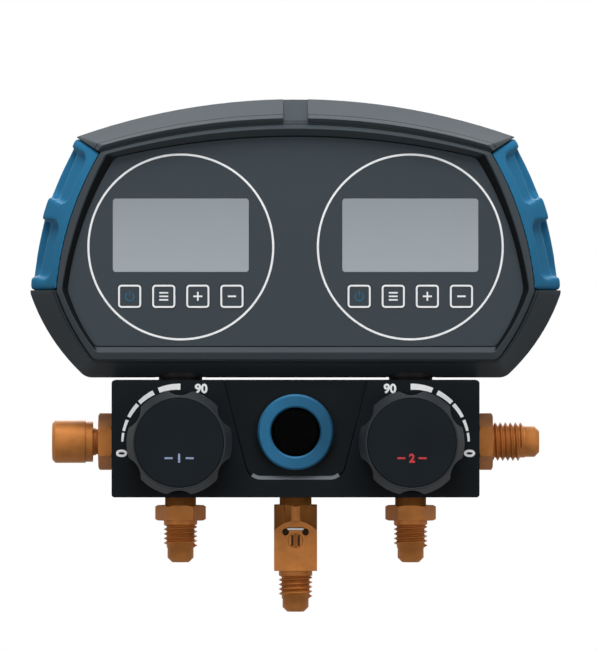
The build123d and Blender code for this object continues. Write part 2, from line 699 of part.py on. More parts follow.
with BuildPart() as sensor_collars:
    for side in SIDES.values():
        flange_top = NECK_FLANGE_TOP_Z - BLOCK_TOP_Z
        collar_top = NECK_BOSS_TOP_Z + NUT_HEIGHT - BLOCK_TOP_Z
        add(turned(upright(side * VALVE_X, BLOCK_TOP_Z), [
            (0, SENSOR_BODY), (0, NECK_RADIUS), (CASE_GAP + 0.1, NECK_RADIUS), (CASE_GAP + 0.1, NECK_FLANGE),
            (flange_top, NECK_FLANGE), (flange_top, NECK_RADIUS), (collar_top, NECK_RADIUS),
            (collar_top, SENSOR_BODY),
        ]))
save(sensor_collars, "sensor_collars")

with BuildPart() as sensor_nuts:
    for side in SIDES.values():
        add(hexagon(upright(side * VALVE_X, NECK_BOSS_TOP_Z), 0, NUT_HEIGHT, NUT_FLATS))
    with Locations(*[(side * VALVE_X, 0, NECK_BOSS_TOP_Z) for side in SIDES.values()]):
        Cylinder(NECK_RADIUS, 3 * NUT_HEIGHT, mode=Mode.SUBTRACT)
save(sensor_nuts, "sensor_nuts")

# ================================================================ manifold block
PORT_SHANK = 5.05
SERVICE_SHANK = 5.2
SIDE_SHANK = 6.0
SHANK_DEPTH = 9.0
GALLERY = 2.5
CHAMBER = 7.2
CHAMBER_BACK_Y = 6.6
SEAT_RADIUS = 4.8
SEAT_END = 8.6
POCKET_DEPTH = 1.5
POCKET_TOP = 23.7
POCKET_FOOT = 15.2
POCKET_FOOT_RISE = 5.8
POCKET_Y = BLOCK_FRONT_Y + POCKET_DEPTH
SIGHT_BORE = 10.0
SIGHT_SEAT_Y = -7.0
SIGHT_CHAMBER = 7.0
SIGHT_BACK_Y = 3.0
CROSS_DRILL = 1.5


def cross_drill(start, end):
    """Oblique passage in the block's middle plane between two (x, z) points."""
    begin = Vector(start[0], 0, start[1])
    run = Vector(end[0], 0, end[1]) - begin
    with BuildPart() as passage:
        with BuildSketch(Plane(origin=begin, x_dir=(0, 1, 0), z_dir=run)):
            Circle(CROSS_DRILL)
        extrude(amount=run.length)
    return passage.part


with BuildPart() as manifold_body:
    with Locations((0, 0, BLOCK_BASE_Z)):
        Box(BLOCK_WIDTH, BLOCK_DEPTH, BLOCK_HEIGHT, align=(Align.CENTER, Align.CENTER, Align.MIN))
    fillet(manifold_body.edges().filter_by(Axis.Y), BLOCK_EDGE)
    # trapezoid pocket, open at the top, around the sight glass
    with BuildSketch(frontal(BLOCK_FRONT_Y)) as pocket:
        foot_z = BLOCK_BASE_Z + POCKET_FOOT_RISE
        with BuildLine():
            Polyline(
                (-POCKET_FOOT, foot_z), (POCKET_FOOT, foot_z),
                (POCKET_TOP, BLOCK_TOP_Z + 1), (-POCKET_TOP, BLOCK_TOP_Z + 1), close=True,
            )
        make_face()
        fillet(pocket.vertices().group_by(Axis.Y)[0], 5)
    extrude(amount=-POCKET_DEPTH, mode=Mode.SUBTRACT)
    # sight glass bore and chamber
    add(drill([(0, SIGHT_Z)], SIGHT_BORE, POCKET_Y, SIGHT_SEAT_Y), mode=Mode.SUBTRACT)
    add(drill([(0, SIGHT_Z)], SIGHT_CHAMBER, SIGHT_SEAT_Y, SIGHT_BACK_Y), mode=Mode.SUBTRACT)
    # valve chambers with their seat pockets
    add(drill([(side * VALVE_X, VALVE_Z) for side in (-1, 1)], CHAMBER, BLOCK_FRONT_Y, CHAMBER_BACK_Y),
        mode=Mode.SUBTRACT)
    with Locations(*[(side * VALVE_X, 0, VALVE_Z) for side in (-1, 1)]):
        Cylinder(SEAT_RADIUS, 2 * SEAT_END, rotation=(0, 90, 0), mode=Mode.SUBTRACT)
    # gallery from side port to side port
    with Locations((0, 0, VALVE_Z)):
        Cylinder(GALLERY, BLOCK_WIDTH, rotation=(0, 90, 0), mode=Mode.SUBTRACT)
    with Locations(*[(side * (BLOCK_WIDTH - SHANK_DEPTH) / 2, 0, VALVE_Z) for side in (-1, 1)]):
        Cylinder(SIDE_SHANK, SHANK_DEPTH, rotation=(0, 90, 0), mode=Mode.SUBTRACT)
    # sockets for the bottom ports and the sensors, joined to the gallery outside each ball
    with Locations(*[(side * VALVE_X, 0, BLOCK_BASE_Z + SHANK_DEPTH / 2) for side in (-1, 1)]):
        Cylinder(PORT_SHANK, SHANK_DEPTH, mode=Mode.SUBTRACT)
    with Locations(*[(side * VALVE_X, 0, BLOCK_TOP_Z - SENSOR_DEPTH / 2) for side in (-1, 1)]):
        Cylinder(SENSOR_SHANK, SENSOR_DEPTH, mode=Mode.SUBTRACT)
    for side in (-1, 1):
        joint = (side * (VALVE_X + 15), VALVE_Z)
        for socket_z in (BLOCK_BASE_Z + SHANK_DEPTH, BLOCK_TOP_Z - SENSOR_DEPTH):
            add(cross_drill((side * (VALVE_X + 3), socket_z), joint), mode=Mode.SUBTRACT)
    # service port socket, up into the sight glass chamber
    with Locations((0, 0, BLOCK_BASE_Z + SHANK_DEPTH / 2)):
        Cylinder(SERVICE_SHANK, SHANK_DEPTH, mode=Mode.SUBTRACT)
    with Locations((0, 0, BLOCK_BASE_Z + SHANK_DEPTH)):
        Cylinder(2.0, 7, align=(Align.CENTER, Align.CENTER, Align.MIN), mode=Mode.SUBTRACT)
save(manifold_body, "manifold_body")

# ================================================================ sight glass
RING_RADIUS = 12.3
RING_BORE = 8.0
RING_HEIGHT = 3.0
LENS_RADIUS = 9.4
LENS_THICK = 3.0
GASKET_THICK = 1.0
PEEP_RADIUS = 4.05


def facing(x, z, y):
    """Plane at depth y that faces the user, centred on (x, z)."""
    return Plane(origin=(x, y, z), x_dir=(1, 0, 0), z_dir=(0, -1, 0))


sight = facing(0, SIGHT_Z, SIGHT_SEAT_Y)
LENS_BACK = GASKET_THICK
LENS_FRONT = LENS_BACK + LENS_THICK
RING_SEAT = SIGHT_SEAT_Y - POCKET_Y
RING_FRONT = RING_SEAT + RING_HEIGHT

with BuildPart() as sight_glass_ring:
    add(turned(sight, [
        (LENS_FRONT, RING_BORE), (LENS_FRONT, SIGHT_BORE), (RING_SEAT, SIGHT_BORE), (RING_SEAT, RING_RADIUS),
        (RING_FRONT - 0.6, RING_RADIUS), (RING_FRONT, RING_RADIUS - 0.6), (RING_FRONT, RING_BORE + 0.5),
        (RING_FRONT - 0.5, RING_BORE),
    ]))
save(sight_glass_ring, "sight_glass_ring")

with BuildPart() as sight_glass_lens:
    add(turned(sight, [(LENS_BACK, 0), (LENS_BACK, LENS_RADIUS), (LENS_FRONT, LENS_RADIUS), (LENS_FRONT, 0)]))
save(sight_glass_lens, "sight_glass_lens")

with BuildPart() as sight_glass_seal:
    add(turned(sight, [(0, 7.4), (0, LENS_RADIUS), (GASKET_THICK, LENS_RADIUS), (GASKET_THICK, 7.4)]))
save(sight_glass_seal, "sight_glass_seal")

INSERT_DEPTH = 5.0
with BuildPart() as sight_glass_insert:
    add(turned(sight, [
        (0, SIGHT_CHAMBER - 0.2), (0, SIGHT_CHAMBER), (-INSERT_DEPTH, SIGHT_CHAMBER),
        (-INSERT_DEPTH, PEEP_RADIUS), (-INSERT_DEPTH / 2, PEEP_RADIUS),
    ]))
save(sight_glass_insert, "sight_glass_insert")

# ================================================================ ball valves
BALL_RADIUS = 5.5
BALL_BORE = 2.2
STEM_RADIUS = 3.0
STEM_FRONT_Y = -31.0
TANG = (2.0, 1.7)
BONNET_FRONT_Y = -16.8
BONNET_BACK_Y = -7.0
SEAL_RADIUS = 4.6
SEAL_BORE = STEM_RADIUS + 0.06
SEAL_DEPTH = 1.8

with BuildPart() as ball_seats:
    for side in (-1, 1):
        for way in (-1, 1):
            outlet = Plane(origin=(side * VALVE_X, 0, VALVE_Z), x_dir=(0, 1, 0), z_dir=(way, 0, 0))
            add(turned(outlet, [
                (5.2, 2.3), (3.9, 4.1), (3.9, SEAT_RADIUS), (SEAT_END, SEAT_RADIUS), (SEAT_END, 2.3),
            ]))
save(ball_seats, "ball_seats")

with BuildPart() as stem_seals:
    for side in (-1, 1):
        add(turned(facing(side * VALVE_X, VALVE_Z, BONNET_BACK_Y), [
            (0, SEAL_BORE), (0, SEAL_RADIUS), (SEAL_DEPTH, SEAL_RADIUS), (SEAL_DEPTH, SEAL_BORE),
        ]))
save(stem_seals, "stem_seals")

KNOB_DEPTH = KNOB_BACK_Y - KNOB_FRONT_Y
CAP_THICK = 1.2
CAP_EDGE = 0.3
KNOB_WEB = 1.8
HUB_RADIUS = 5.5
KNOB_WALL_RADIUS = 13.0
KNOB_TAPER = 3.0        # the lobes slope in over this depth at the front
KNOB_RIM = 0.5          # width of the rim around the cap
SCALLOP = 6.5
HEAD_SEAT = 14.8        # screw seat above the knob's back
SHANK_RADIUS, HEAD_RADIUS, HEAD_HEIGHT = 1.25, 2.8, 1.6
SHANK_LENGTH = 8.0


def knob_section(plane):
    """Six-lobed outline with rounded lobe edges; one lobe points sideways."""
    with BuildSketch(plane) as section:
        Circle(KNOB_RADIUS)
        with PolarLocations(KNOB_WAIST + SCALLOP, LOBES, start_angle=180 / LOBES):
            Circle(SCALLOP, mode=Mode.SUBTRACT)
        fillet(section.vertices(), 0.9)
    return section.sketch


def build_knob(x):
    """Hollow lobed knob with a hub for the stem and a shallow recess for its cap."""
    back = facing(x, VALVE_Z, KNOB_BACK_Y)
    stem_end = KNOB_BACK_Y - STEM_FRONT_Y
    with BuildPart() as knob:
        extrude(knob_section(back), amount=KNOB_DEPTH)
        add(turned(back, [
            (0, 0), (0, KNOB_RADIUS), (KNOB_DEPTH - KNOB_TAPER, KNOB_RADIUS),
            (KNOB_DEPTH, CAP_RADIUS + KNOB_RIM), (KNOB_DEPTH, 0),
        ]), mode=Mode.INTERSECT)
        add(turned(back, [
            (0, HUB_RADIUS), (0, KNOB_WALL_RADIUS), (KNOB_DEPTH - CAP_THICK - KNOB_WEB, KNOB_WALL_RADIUS),
            (KNOB_DEPTH - CAP_THICK - KNOB_WEB, HUB_RADIUS),
        ]), mode=Mode.SUBTRACT)
        add(turned(back, [
            (0, 0), (0, HUB_RADIUS), (1.5, HUB_RADIUS), (1.5, STEM_RADIUS), (stem_end, STEM_RADIUS),
            (stem_end, SHANK_RADIUS), (HEAD_SEAT, SHANK_RADIUS), (HEAD_SEAT, HEAD_RADIUS + 0.1),
            (KNOB_DEPTH - CAP_THICK, HEAD_RADIUS + 0.1), (KNOB_DEPTH - CAP_THICK, CAP_RADIUS),
            (KNOB_DEPTH, CAP_RADIUS), (KNOB_DEPTH, 0),
        ]), mode=Mode.SUBTRACT)
    return knob


def build_cap(x):
    """Flat disc that closes the knob's front."""
    with BuildPart() as cap:
        add(turned(facing(x, VALVE_Z, KNOB_FRONT_Y + CAP_THICK), [
            (0, 0), (0, CAP_RADIUS), (CAP_THICK - CAP_EDGE, CAP_RADIUS), (CAP_THICK, CAP_RADIUS - CAP_EDGE),
            (CAP_THICK, 0),
        ]))
    return cap


def build_knob_screw(x):
    """Screw that holds the knob on its stem."""
    with BuildPart() as screw:
        add(turned(facing(x, VALVE_Z, KNOB_BACK_Y), [
            (HEAD_SEAT - SHANK_LENGTH, 0), (HEAD_SEAT - SHANK_LENGTH, SHANK_RADIUS),
            (HEAD_SEAT, SHANK_RADIUS), (HEAD_SEAT, HEAD_RADIUS),
            (HEAD_SEAT + HEAD_HEIGHT, HEAD_RADIUS), (HEAD_SEAT + HEAD_HEIGHT, 0),
        ]))
    return screw


def build_stem(x):
    """Stem with a blow-out collar behind the bonnet and a flat tang that turns the ball."""
    base = facing(x, VALVE_Z, -BALL_RADIUS)
    collar_start = 0.4
    front = -STEM_FRONT_Y - BALL_RADIUS
    screw_bottom = front - (KNOB_BACK_Y - STEM_FRONT_Y) + HEAD_SEAT - SHANK_LENGTH
    with BuildPart() as stem:
        add(turned(base, [
            (0, 0), (0, STEM_RADIUS), (collar_start, STEM_RADIUS), (collar_start, SEAL_RADIUS - 0.1),
            (collar_start + 1, SEAL_RADIUS - 0.1), (collar_start + 1, STEM_RADIUS), (front, STEM_RADIUS),
            (front, SHANK_RADIUS), (screw_bottom, SHANK_RADIUS), (screw_bottom, 0),
        ]))
        with BuildSketch(base):
            Rectangle(TANG[0], 5.0)
        extrude(amount=-TANG[1])
    return stem


def build_ball(x):
    """Drilled ball, closed at rest: its bore stands across the gallery."""
    with BuildPart() as ball:
        with Locations((x, 0, VALVE_Z)):
            Sphere(BALL_RADIUS)
            Cylinder(BALL_BORE, 3 * BALL_RADIUS, mode=Mode.SUBTRACT)
        with BuildSketch(facing(x, VALVE_Z, -BALL_RADIUS)):
            Rectangle(TANG[0] + 0.1, 2 * BALL_RADIUS)
        extrude(amount=-TANG[1] - 0.1, mode=Mode.SUBTRACT)
    return ball


def build_bonnet(x):
    """Screwed gland that closes the chamber and guides the stem."""
    length = BONNET_BACK_Y - BONNET_FRONT_Y
    with BuildPart() as bonnet:
        add(turned(facing(x, VALVE_Z, BONNET_BACK_Y), [
            (0, SEAL_RADIUS), (0, CHAMBER), (length, CHAMBER), (length, STEM_RADIUS + 0.08),
            (SEAL_DEPTH, STEM_RADIUS + 0.08), (SEAL_DEPTH, SEAL_RADIUS),
        ]))
        # pin-spanner holes
        with BuildSketch(frontal(BONNET_FRONT_Y)):
            with Locations(*[(x + offset, VALVE_Z) for offset in (-5.2, 5.2)]):
                Circle(0.8)
        extrude(amount=-2, mode=Mode.SUBTRACT)
    return bonnet


for name, side in SIDES.items():
    valve_x = side * VALVE_X
    save(build_knob(valve_x), f"{name}_knob")
    save(build_cap(valve_x), f"{name}_knob_cap")
    save(build_knob_screw(valve_x), f"{name}_knob_screw")
    save(build_stem(valve_x), f"{name}_stem")
    save(build_ball(valve_x), f"{name}_ball")
    save(build_bonnet(valve_x), f"{name}_bonnet")

# ================================================================ flare ports
def nose(flare, thread_end, end):
    """Profile points of a flare end, from the thread's outer end back along the bore."""
    thread, tip, bore = flare
    return [
        (thread_end, thread), (thread_end, tip), (end - NOSE_CHAMFER, tip), (end, tip - NOSE_CHAMFER),
        (end, bore),
    ]


def downward(x):
    """Plane on the block's underside that faces down."""
    return Plane(origin=(x, 0, BLOCK_BASE_Z), x_dir=(1, 0, 0), z_dir=(0, 0, -1))


def sideways(side):
    """Plane on one end of the block that faces outwards."""
    return Plane(origin=(side * BLOCK_WIDTH / 2, 0, VALVE_Z), x_dir=(0, 1, 0), z_dir=(side, 0, 0))


BOTTOM_HEX = (2.8, 7.8, 14.3)
BOTTOM_THREAD_END = 16.5
BOTTOM_END = 21.4
for name, side in SIDES.items():
    with BuildPart() as port:
        add(turned(downward(side * VALVE_X), [
            (-SHANK_DEPTH, QUARTER_FLARE[2]), (-SHANK_DEPTH, PORT_SHANK), (BOTTOM_HEX[0], PORT_SHANK),
            (BOTTOM_HEX[0], QUARTER_FLARE[0]), *nose(QUARTER_FLARE, BOTTOM_THREAD_END, BOTTOM_END),
        ]))
        add(hexagon(downward(side * VALVE_X), *BOTTOM_HEX))
        with Locations((side * VALVE_X, 0, BLOCK_BASE_Z)):
            Cylinder(QUARTER_FLARE[2], 3 * BOTTOM_END, mode=Mode.SUBTRACT)
    save(port, f"{name}_port")

SIDE_HEX = (0.0, 4.6, 16.0)
RIGHT_THREAD_END = 15.0
RIGHT_END = 19.7
with BuildPart() as side_port_right:
    add(turned(sideways(1), [
        (-SHANK_DEPTH, FIVE_SIXTEENTHS_FLARE[2]), (-SHANK_DEPTH, SIDE_SHANK), (0, SIDE_SHANK),
        (0, FIVE_SIXTEENTHS_FLARE[0]), *nose(FIVE_SIXTEENTHS_FLARE, RIGHT_THREAD_END, RIGHT_END),
    ]))
    add(hexagon(sideways(1), *SIDE_HEX, rotation=30))
    with Locations((BLOCK_WIDTH / 2, 0, VALVE_Z)):
        Cylinder(FIVE_SIXTEENTHS_FLARE[2], 3 * RIGHT_END, rotation=(0, 90, 0), mode=Mode.SUBTRACT)
save(side_port_right, "side_port_right")

LEFT_NECK = 4.2
LEFT_NECK_END = 5.6
LEFT_THREAD_END = 14.7
LEFT_END = 17.0
with BuildPart() as side_port_left:
    add(turned(sideways(-1), [
        (-SHANK_DEPTH, QUARTER_FLARE[2]), (-SHANK_DEPTH, SIDE_SHANK), (0, SIDE_SHANK), (0, LEFT_NECK),
        (LEFT_NECK_END, LEFT_NECK), (LEFT_NECK_END, QUARTER_FLARE[0]),
        *nose(QUARTER_FLARE, LEFT_THREAD_END, LEFT_END),
    ]))
    add(hexagon(sideways(-1), *SIDE_HEX, rotation=30))
    with Locations((-BLOCK_WIDTH / 2, 0, VALVE_Z)):
        Cylinder(QUARTER_FLARE[2], 3 * LEFT_END, rotation=(0, 90, 0), mode=Mode.SUBTRACT)
save(side_port_left, "side_port_left")

CAP_OPEN = 6.4
CAP_LIP_END = 8.8
CAP_THREAD_END = 15.2
CAP_SEAT = 18.1
CAP_END = 19.6
CAP_LIP = 6.6
CAP_BODY = 6.95
CAP_BEVEL = 1.0
CAP_THREAD = QUARTER_FLARE[0] + 0.15
CAP_HOLLOW = 4.5
with BuildPart() as port_cap:
    add(turned(sideways(-1), [
        (CAP_OPEN, CAP_THREAD), (CAP_OPEN, CAP_LIP), (CAP_LIP_END, CAP_LIP), (CAP_LIP_END, CAP_BODY),
        (CAP_END - CAP_BEVEL, CAP_BODY), (CAP_END, CAP_BODY - CAP_BEVEL), (CAP_END, 0), (CAP_SEAT, 0),
        (CAP_SEAT, CAP_HOLLOW), (CAP_THREAD_END, CAP_HOLLOW), (CAP_THREAD_END, CAP_THREAD),
    ]))
save(port_cap, "port_cap")

with BuildPart() as cap_seal:
    seal = CAP_HOLLOW - 0.1
    add(turned(sideways(-1), [(LEFT_END + 0.2, 0), (LEFT_END + 0.2, seal), (CAP_SEAT, seal), (CAP_SEAT, 0)]))
save(cap_seal, "cap_seal")

# ================================================================ service port with its shut-off
SERVICE_HEX = (2.6, 24.1, 14.0)
SERVICE_END = 37.5
SPINDLE_DROP = 14.2
SPINDLE_Z = BLOCK_BASE_Z - SPINDLE_DROP
SPINDLE_RADIUS = 2.3
FACE_Y = -7.3           # milled flat around the spindle
FACE_RADIUS = 9.0
FACE_DROP = 2.6
SERVICE_BALL = 4.2
SERVICE_BORE = 2.0
STOP_RISE = 3.8         # stop pin above the spindle
STOP_RADIUS = 0.5
STOP_LENGTH = 5.2
STOP_HOLES = mirrored([(3.25, SPINDLE_Z + 2.8)])
STOP_HOLE_RADIUS = 1.1
STOP_HOLE_DEPTH = 1.5
FACE_HEIGHT = 19.0
SLOT = 0.9              # screwdriver slot, as deep as it is wide
SPINDLE_PROUD = 0.3
SERVICE_FLARE = (QUARTER_FLARE[0], QUARTER_FLARE[1], SERVICE_BORE)

with BuildPart() as service_port:
    add(turned(downward(0), [
        (-SHANK_DEPTH, SERVICE_BORE), (-SHANK_DEPTH, SERVICE_SHANK), (SERVICE_HEX[0], SERVICE_SHANK),
        (SERVICE_HEX[0], QUARTER_FLARE[0]), *nose(SERVICE_FLARE, BLOCK_BASE_Z, SERVICE_END),
    ]))
    add(hexagon(downward(0), *SERVICE_HEX, rotation=30, corner=1.1))
    # milled face: a wide arc across the front corner, filled out to the body's width
    with BuildSketch(frontal(-SERVICE_HEX[2])):
        with Locations((0, SPINDLE_Z - FACE_DROP)):
            Circle(FACE_RADIUS)
    extrude(amount=FACE_Y - SERVICE_HEX[2], mode=Mode.SUBTRACT)
    with BuildSketch(frontal(FACE_Y)):
        with Locations((0, SPINDLE_Z - FACE_DROP)):
            Circle(FACE_RADIUS)
        with Locations((0, SPINDLE_Z)):
            Rectangle(SERVICE_HEX[2], FACE_HEIGHT, mode=Mode.INTERSECT)
    extrude(amount=FACE_Y)
    Cylinder(SERVICE_BORE, 3 * SERVICE_END, mode=Mode.SUBTRACT)
    with Locations((0, 0, SPINDLE_Z)):
        Sphere(SERVICE_BALL + 0.1, mode=Mode.SUBTRACT)
    add(drill([(0, SPINDLE_Z)], SPINDLE_RADIUS + 0.06, FACE_Y, 0), mode=Mode.SUBTRACT)
    # two blind holes and the groove of the stop pin
    add(drill(STOP_HOLES, STOP_HOLE_RADIUS, FACE_Y, FACE_Y + STOP_HOLE_DEPTH), mode=Mode.SUBTRACT)
    with Locations((0, FACE_Y, SPINDLE_Z + STOP_RISE)):
        Cylinder(STOP_RADIUS, STOP_LENGTH, rotation=(0, 90, 0), mode=Mode.SUBTRACT)
save(service_port, "service_port")

with BuildPart() as service_spindle:
    add(drill([(0, SPINDLE_Z)], SPINDLE_RADIUS, FACE_Y - SPINDLE_PROUD, -SERVICE_BALL))
    with BuildSketch(frontal(FACE_Y - SPINDLE_PROUD)):
        with Locations((0, SPINDLE_Z)):
            Rectangle(SLOT, 2 * SPINDLE_RADIUS)
    extrude(amount=-SLOT, mode=Mode.SUBTRACT)
save(service_spindle, "service_spindle")

with BuildPart() as service_ball:
    with Locations((0, 0, SPINDLE_Z)):
        Sphere(SERVICE_BALL)
        Cylinder(SERVICE_BORE, 3 * SERVICE_BALL, mode=Mode.SUBTRACT)
save(service_ball, "service_ball")

with BuildPart() as service_pin:
    with Locations((0, FACE_Y, SPINDLE_Z + STOP_RISE)):
        Cylinder(STOP_RADIUS, STOP_LENGTH, rotation=(0, 90, 0))
save(service_pin, "service_pin")
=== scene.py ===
"""Finishes, prints and threads of a digital two-valve refrigerant manifold gauge.

Laid out as a Blender add-on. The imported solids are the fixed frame: +X runs along the
block, +Y runs to the back, +Z is up, and every length in the scene is in metres.
"""

import json
import math
from typing import NamedTuple

import bmesh
import bpy
from mathutils import Matrix, Vector

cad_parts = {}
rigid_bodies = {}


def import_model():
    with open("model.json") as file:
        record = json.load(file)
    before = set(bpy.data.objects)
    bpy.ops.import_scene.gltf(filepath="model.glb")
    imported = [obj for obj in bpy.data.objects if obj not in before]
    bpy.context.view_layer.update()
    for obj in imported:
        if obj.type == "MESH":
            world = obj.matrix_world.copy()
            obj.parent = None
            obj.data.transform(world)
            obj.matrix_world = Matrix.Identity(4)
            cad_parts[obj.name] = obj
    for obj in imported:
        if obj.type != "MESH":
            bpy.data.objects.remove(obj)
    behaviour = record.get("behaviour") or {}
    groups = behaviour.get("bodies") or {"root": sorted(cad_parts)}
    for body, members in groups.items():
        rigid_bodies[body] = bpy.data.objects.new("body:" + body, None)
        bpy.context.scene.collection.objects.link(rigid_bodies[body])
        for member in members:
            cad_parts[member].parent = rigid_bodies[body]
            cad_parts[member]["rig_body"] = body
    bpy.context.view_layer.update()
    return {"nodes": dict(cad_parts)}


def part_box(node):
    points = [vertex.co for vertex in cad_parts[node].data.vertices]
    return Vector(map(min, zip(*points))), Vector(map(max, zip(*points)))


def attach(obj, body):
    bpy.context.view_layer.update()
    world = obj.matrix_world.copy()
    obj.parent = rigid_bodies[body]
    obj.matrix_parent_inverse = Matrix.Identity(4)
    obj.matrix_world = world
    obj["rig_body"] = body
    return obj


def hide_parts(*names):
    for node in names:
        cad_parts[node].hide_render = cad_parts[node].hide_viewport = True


bl_info = {
    "name": "Manifold Gauge",
    "version": (1, 0, 0),
    "blender": (4, 5, 0),
    "location": "View3D > Sidebar > Gauge",
    "description": "Finishes, prints, grips and flare threads of a manifold gauge",
    "category": "Object",
}

MM = 0.001

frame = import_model()


# ---------------------------------------------------------------- places read from the frame
def middle(node):
    """Centre of a node's box."""
    low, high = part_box(node)
    return (low + high) / 2


def front(node):
    """Depth of a node's front face."""
    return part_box(node)[0].y


SIDES = ("low", "high")
HANDS = ("left", "right")
KEYS = ("power", "menu", "plus", "minus")
BLOCK_LOW, BLOCK_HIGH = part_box("manifold_body")
KNOB = {side: middle(f"{side}_knob") for side in SIDES}
DISPLAY_LOW, DISPLAY_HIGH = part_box("display_lenses")
PLATE_Y = front("face_plate")


# ---------------------------------------------------------------- sizes and colours
def shade(red, green, blue):
    """Linear colour of an 8-bit display colour."""
    def linear(value):
        value /= 255
        return value / 12.92 if value <= 0.04045 else ((value + 0.055) / 1.055) ** 2.4
    return linear(red), linear(green), linear(blue)


def length(name, description, millimetres):
    """A size that a user may change."""
    return bpy.props.FloatProperty(
        name=name, description=description, default=millimetres * MM,
        min=0.0, subtype="DISTANCE", unit="LENGTH", precision=5,
    )


def tint(name, description, red, green, blue):
    """A colour that a user may change."""
    return bpy.props.FloatVectorProperty(
        name=name, description=description, default=shade(red, green, blue),
        size=3, min=0.0, max=1.0, subtype="COLOR",
    )


class GaugeSizes(bpy.types.PropertyGroup):
    """Sizes of the prints and of the grips' mesh"""

    ring_radius: length("Dial ring radius", "Outer radius of the ring around each display", 30.3)
    ring_line: length("Dial ring line", "Width of the dial ring's line", 0.68)
    ring_drop: length("Dial ring drop", "How far the ring's centre lies below the display's", 3.8)
    key_line: length("Key line", "Width of the outline printed on each key", 0.6)
    key_corner: length("Key corner", "Corner radius of the outline printed on each key", 1.15)
    ink: length("Ink height", "How far a print stands proud of its surface", 0.04)
    scale_radius: length("Scale radius", "Outer radius of the arc around each knob", 19.0)
    thin_mark: length("Thin mark", "Width of the arc at the closed end", 0.7)
    wide_mark: length("Wide mark", "Width of the arc at the open end", 2.0)
    voxel: length("Rubber mesh", "Spacing of the soft grips' mesh", 0.5)


class GaugeColours(bpy.types.PropertyGroup):
    """Colours of the gauge's finishes"""

    case: tint("Case", "Moulded display head", 66, 73, 78)
    plate: tint("Face plate", "Printed film on the face plate", 66, 74, 80)
    grip: tint("Grip", "Rubber grips", 40, 112, 152)
    screen: tint("Screen", "Unlit display", 168, 176, 183)
    ink: tint("Ink", "White print", 246, 248, 249)
    power: tint("Power symbol", "Symbol on the power keys", 34, 98, 128)
    block: tint("Block", "Black anodised block", 24, 28, 31)
    ring: tint("Ring", "Blue anodised ring", 40, 108, 148)
    knob: tint("Knob", "Moulded knobs", 29, 34, 38)
    brass: tint("Brass", "Turned brass fittings", 192, 122, 59)
    low_mark: tint("Low mark", "Print on the low-pressure knob", 150, 166, 200)
    high_mark: tint("High mark", "Print on the high-pressure knob", 205, 62, 66)


def sizes():
    return bpy.context.scene.gauge_sizes


def colours():
    return bpy.context.scene.gauge_colours


# ---------------------------------------------------------------- materials
class Finish(NamedTuple):
    """Everything that tells one surface finish from another; lengths are in millimetres."""

    colour: tuple
    darker: float = 0.85        # brightness of the darkest patches
    patch: float = 12.0         # size of the patches
    gloss: tuple = (0.4, 0.5)   # lowest and highest roughness
    grain: float = 0.4          # size of the surface grain
    relief: float = 0.02        # height of the grain
    stretch: tuple = (1, 1, 1)  # draws the grain out along an axis
    edge: float = 0.3           # radius of the soft edges
    metallic: float = 0.0
    specular: float = 0.3
    sockets: tuple = ()         # further constant sockets of the shader


def math_node(owner, operation, *values):
    """Output of a Math node, fed with node outputs or numbers, of a material or a world."""
    node = owner.node_tree.nodes.new("ShaderNodeMath")
    node.operation = operation
    for socket, value in zip(node.inputs, values):
        if isinstance(value, bpy.types.NodeSocket):
            owner.node_tree.links.new(value, socket)
        else:
            socket.default_value = value
    return node.outputs["Value"]


def ranged(material, value, begin, end, first, last):
    """Output of a Map Range node that turns begin to end into first to last."""
    node = material.node_tree.nodes.new("ShaderNodeMapRange")
    for socket, number in zip(("From Min", "From Max", "To Min", "To Max"), (begin, end, first, last)):
        node.inputs[socket].default_value = number
    material.node_tree.links.new(value, node.inputs["Value"])
    return node.outputs["Result"]


def split(material, vector):
    """X, Y and Z outputs of a vector output."""
    parts = material.node_tree.nodes.new("ShaderNodeSeparateXYZ")
    material.node_tree.links.new(vector, parts.inputs["Vector"])
    return parts.outputs


def object_place(material):
    """X, Y and Z outputs of the Object coordinates."""
    place = material.node_tree.nodes.new("ShaderNodeTexCoord")
    return split(material, place.outputs["Object"])


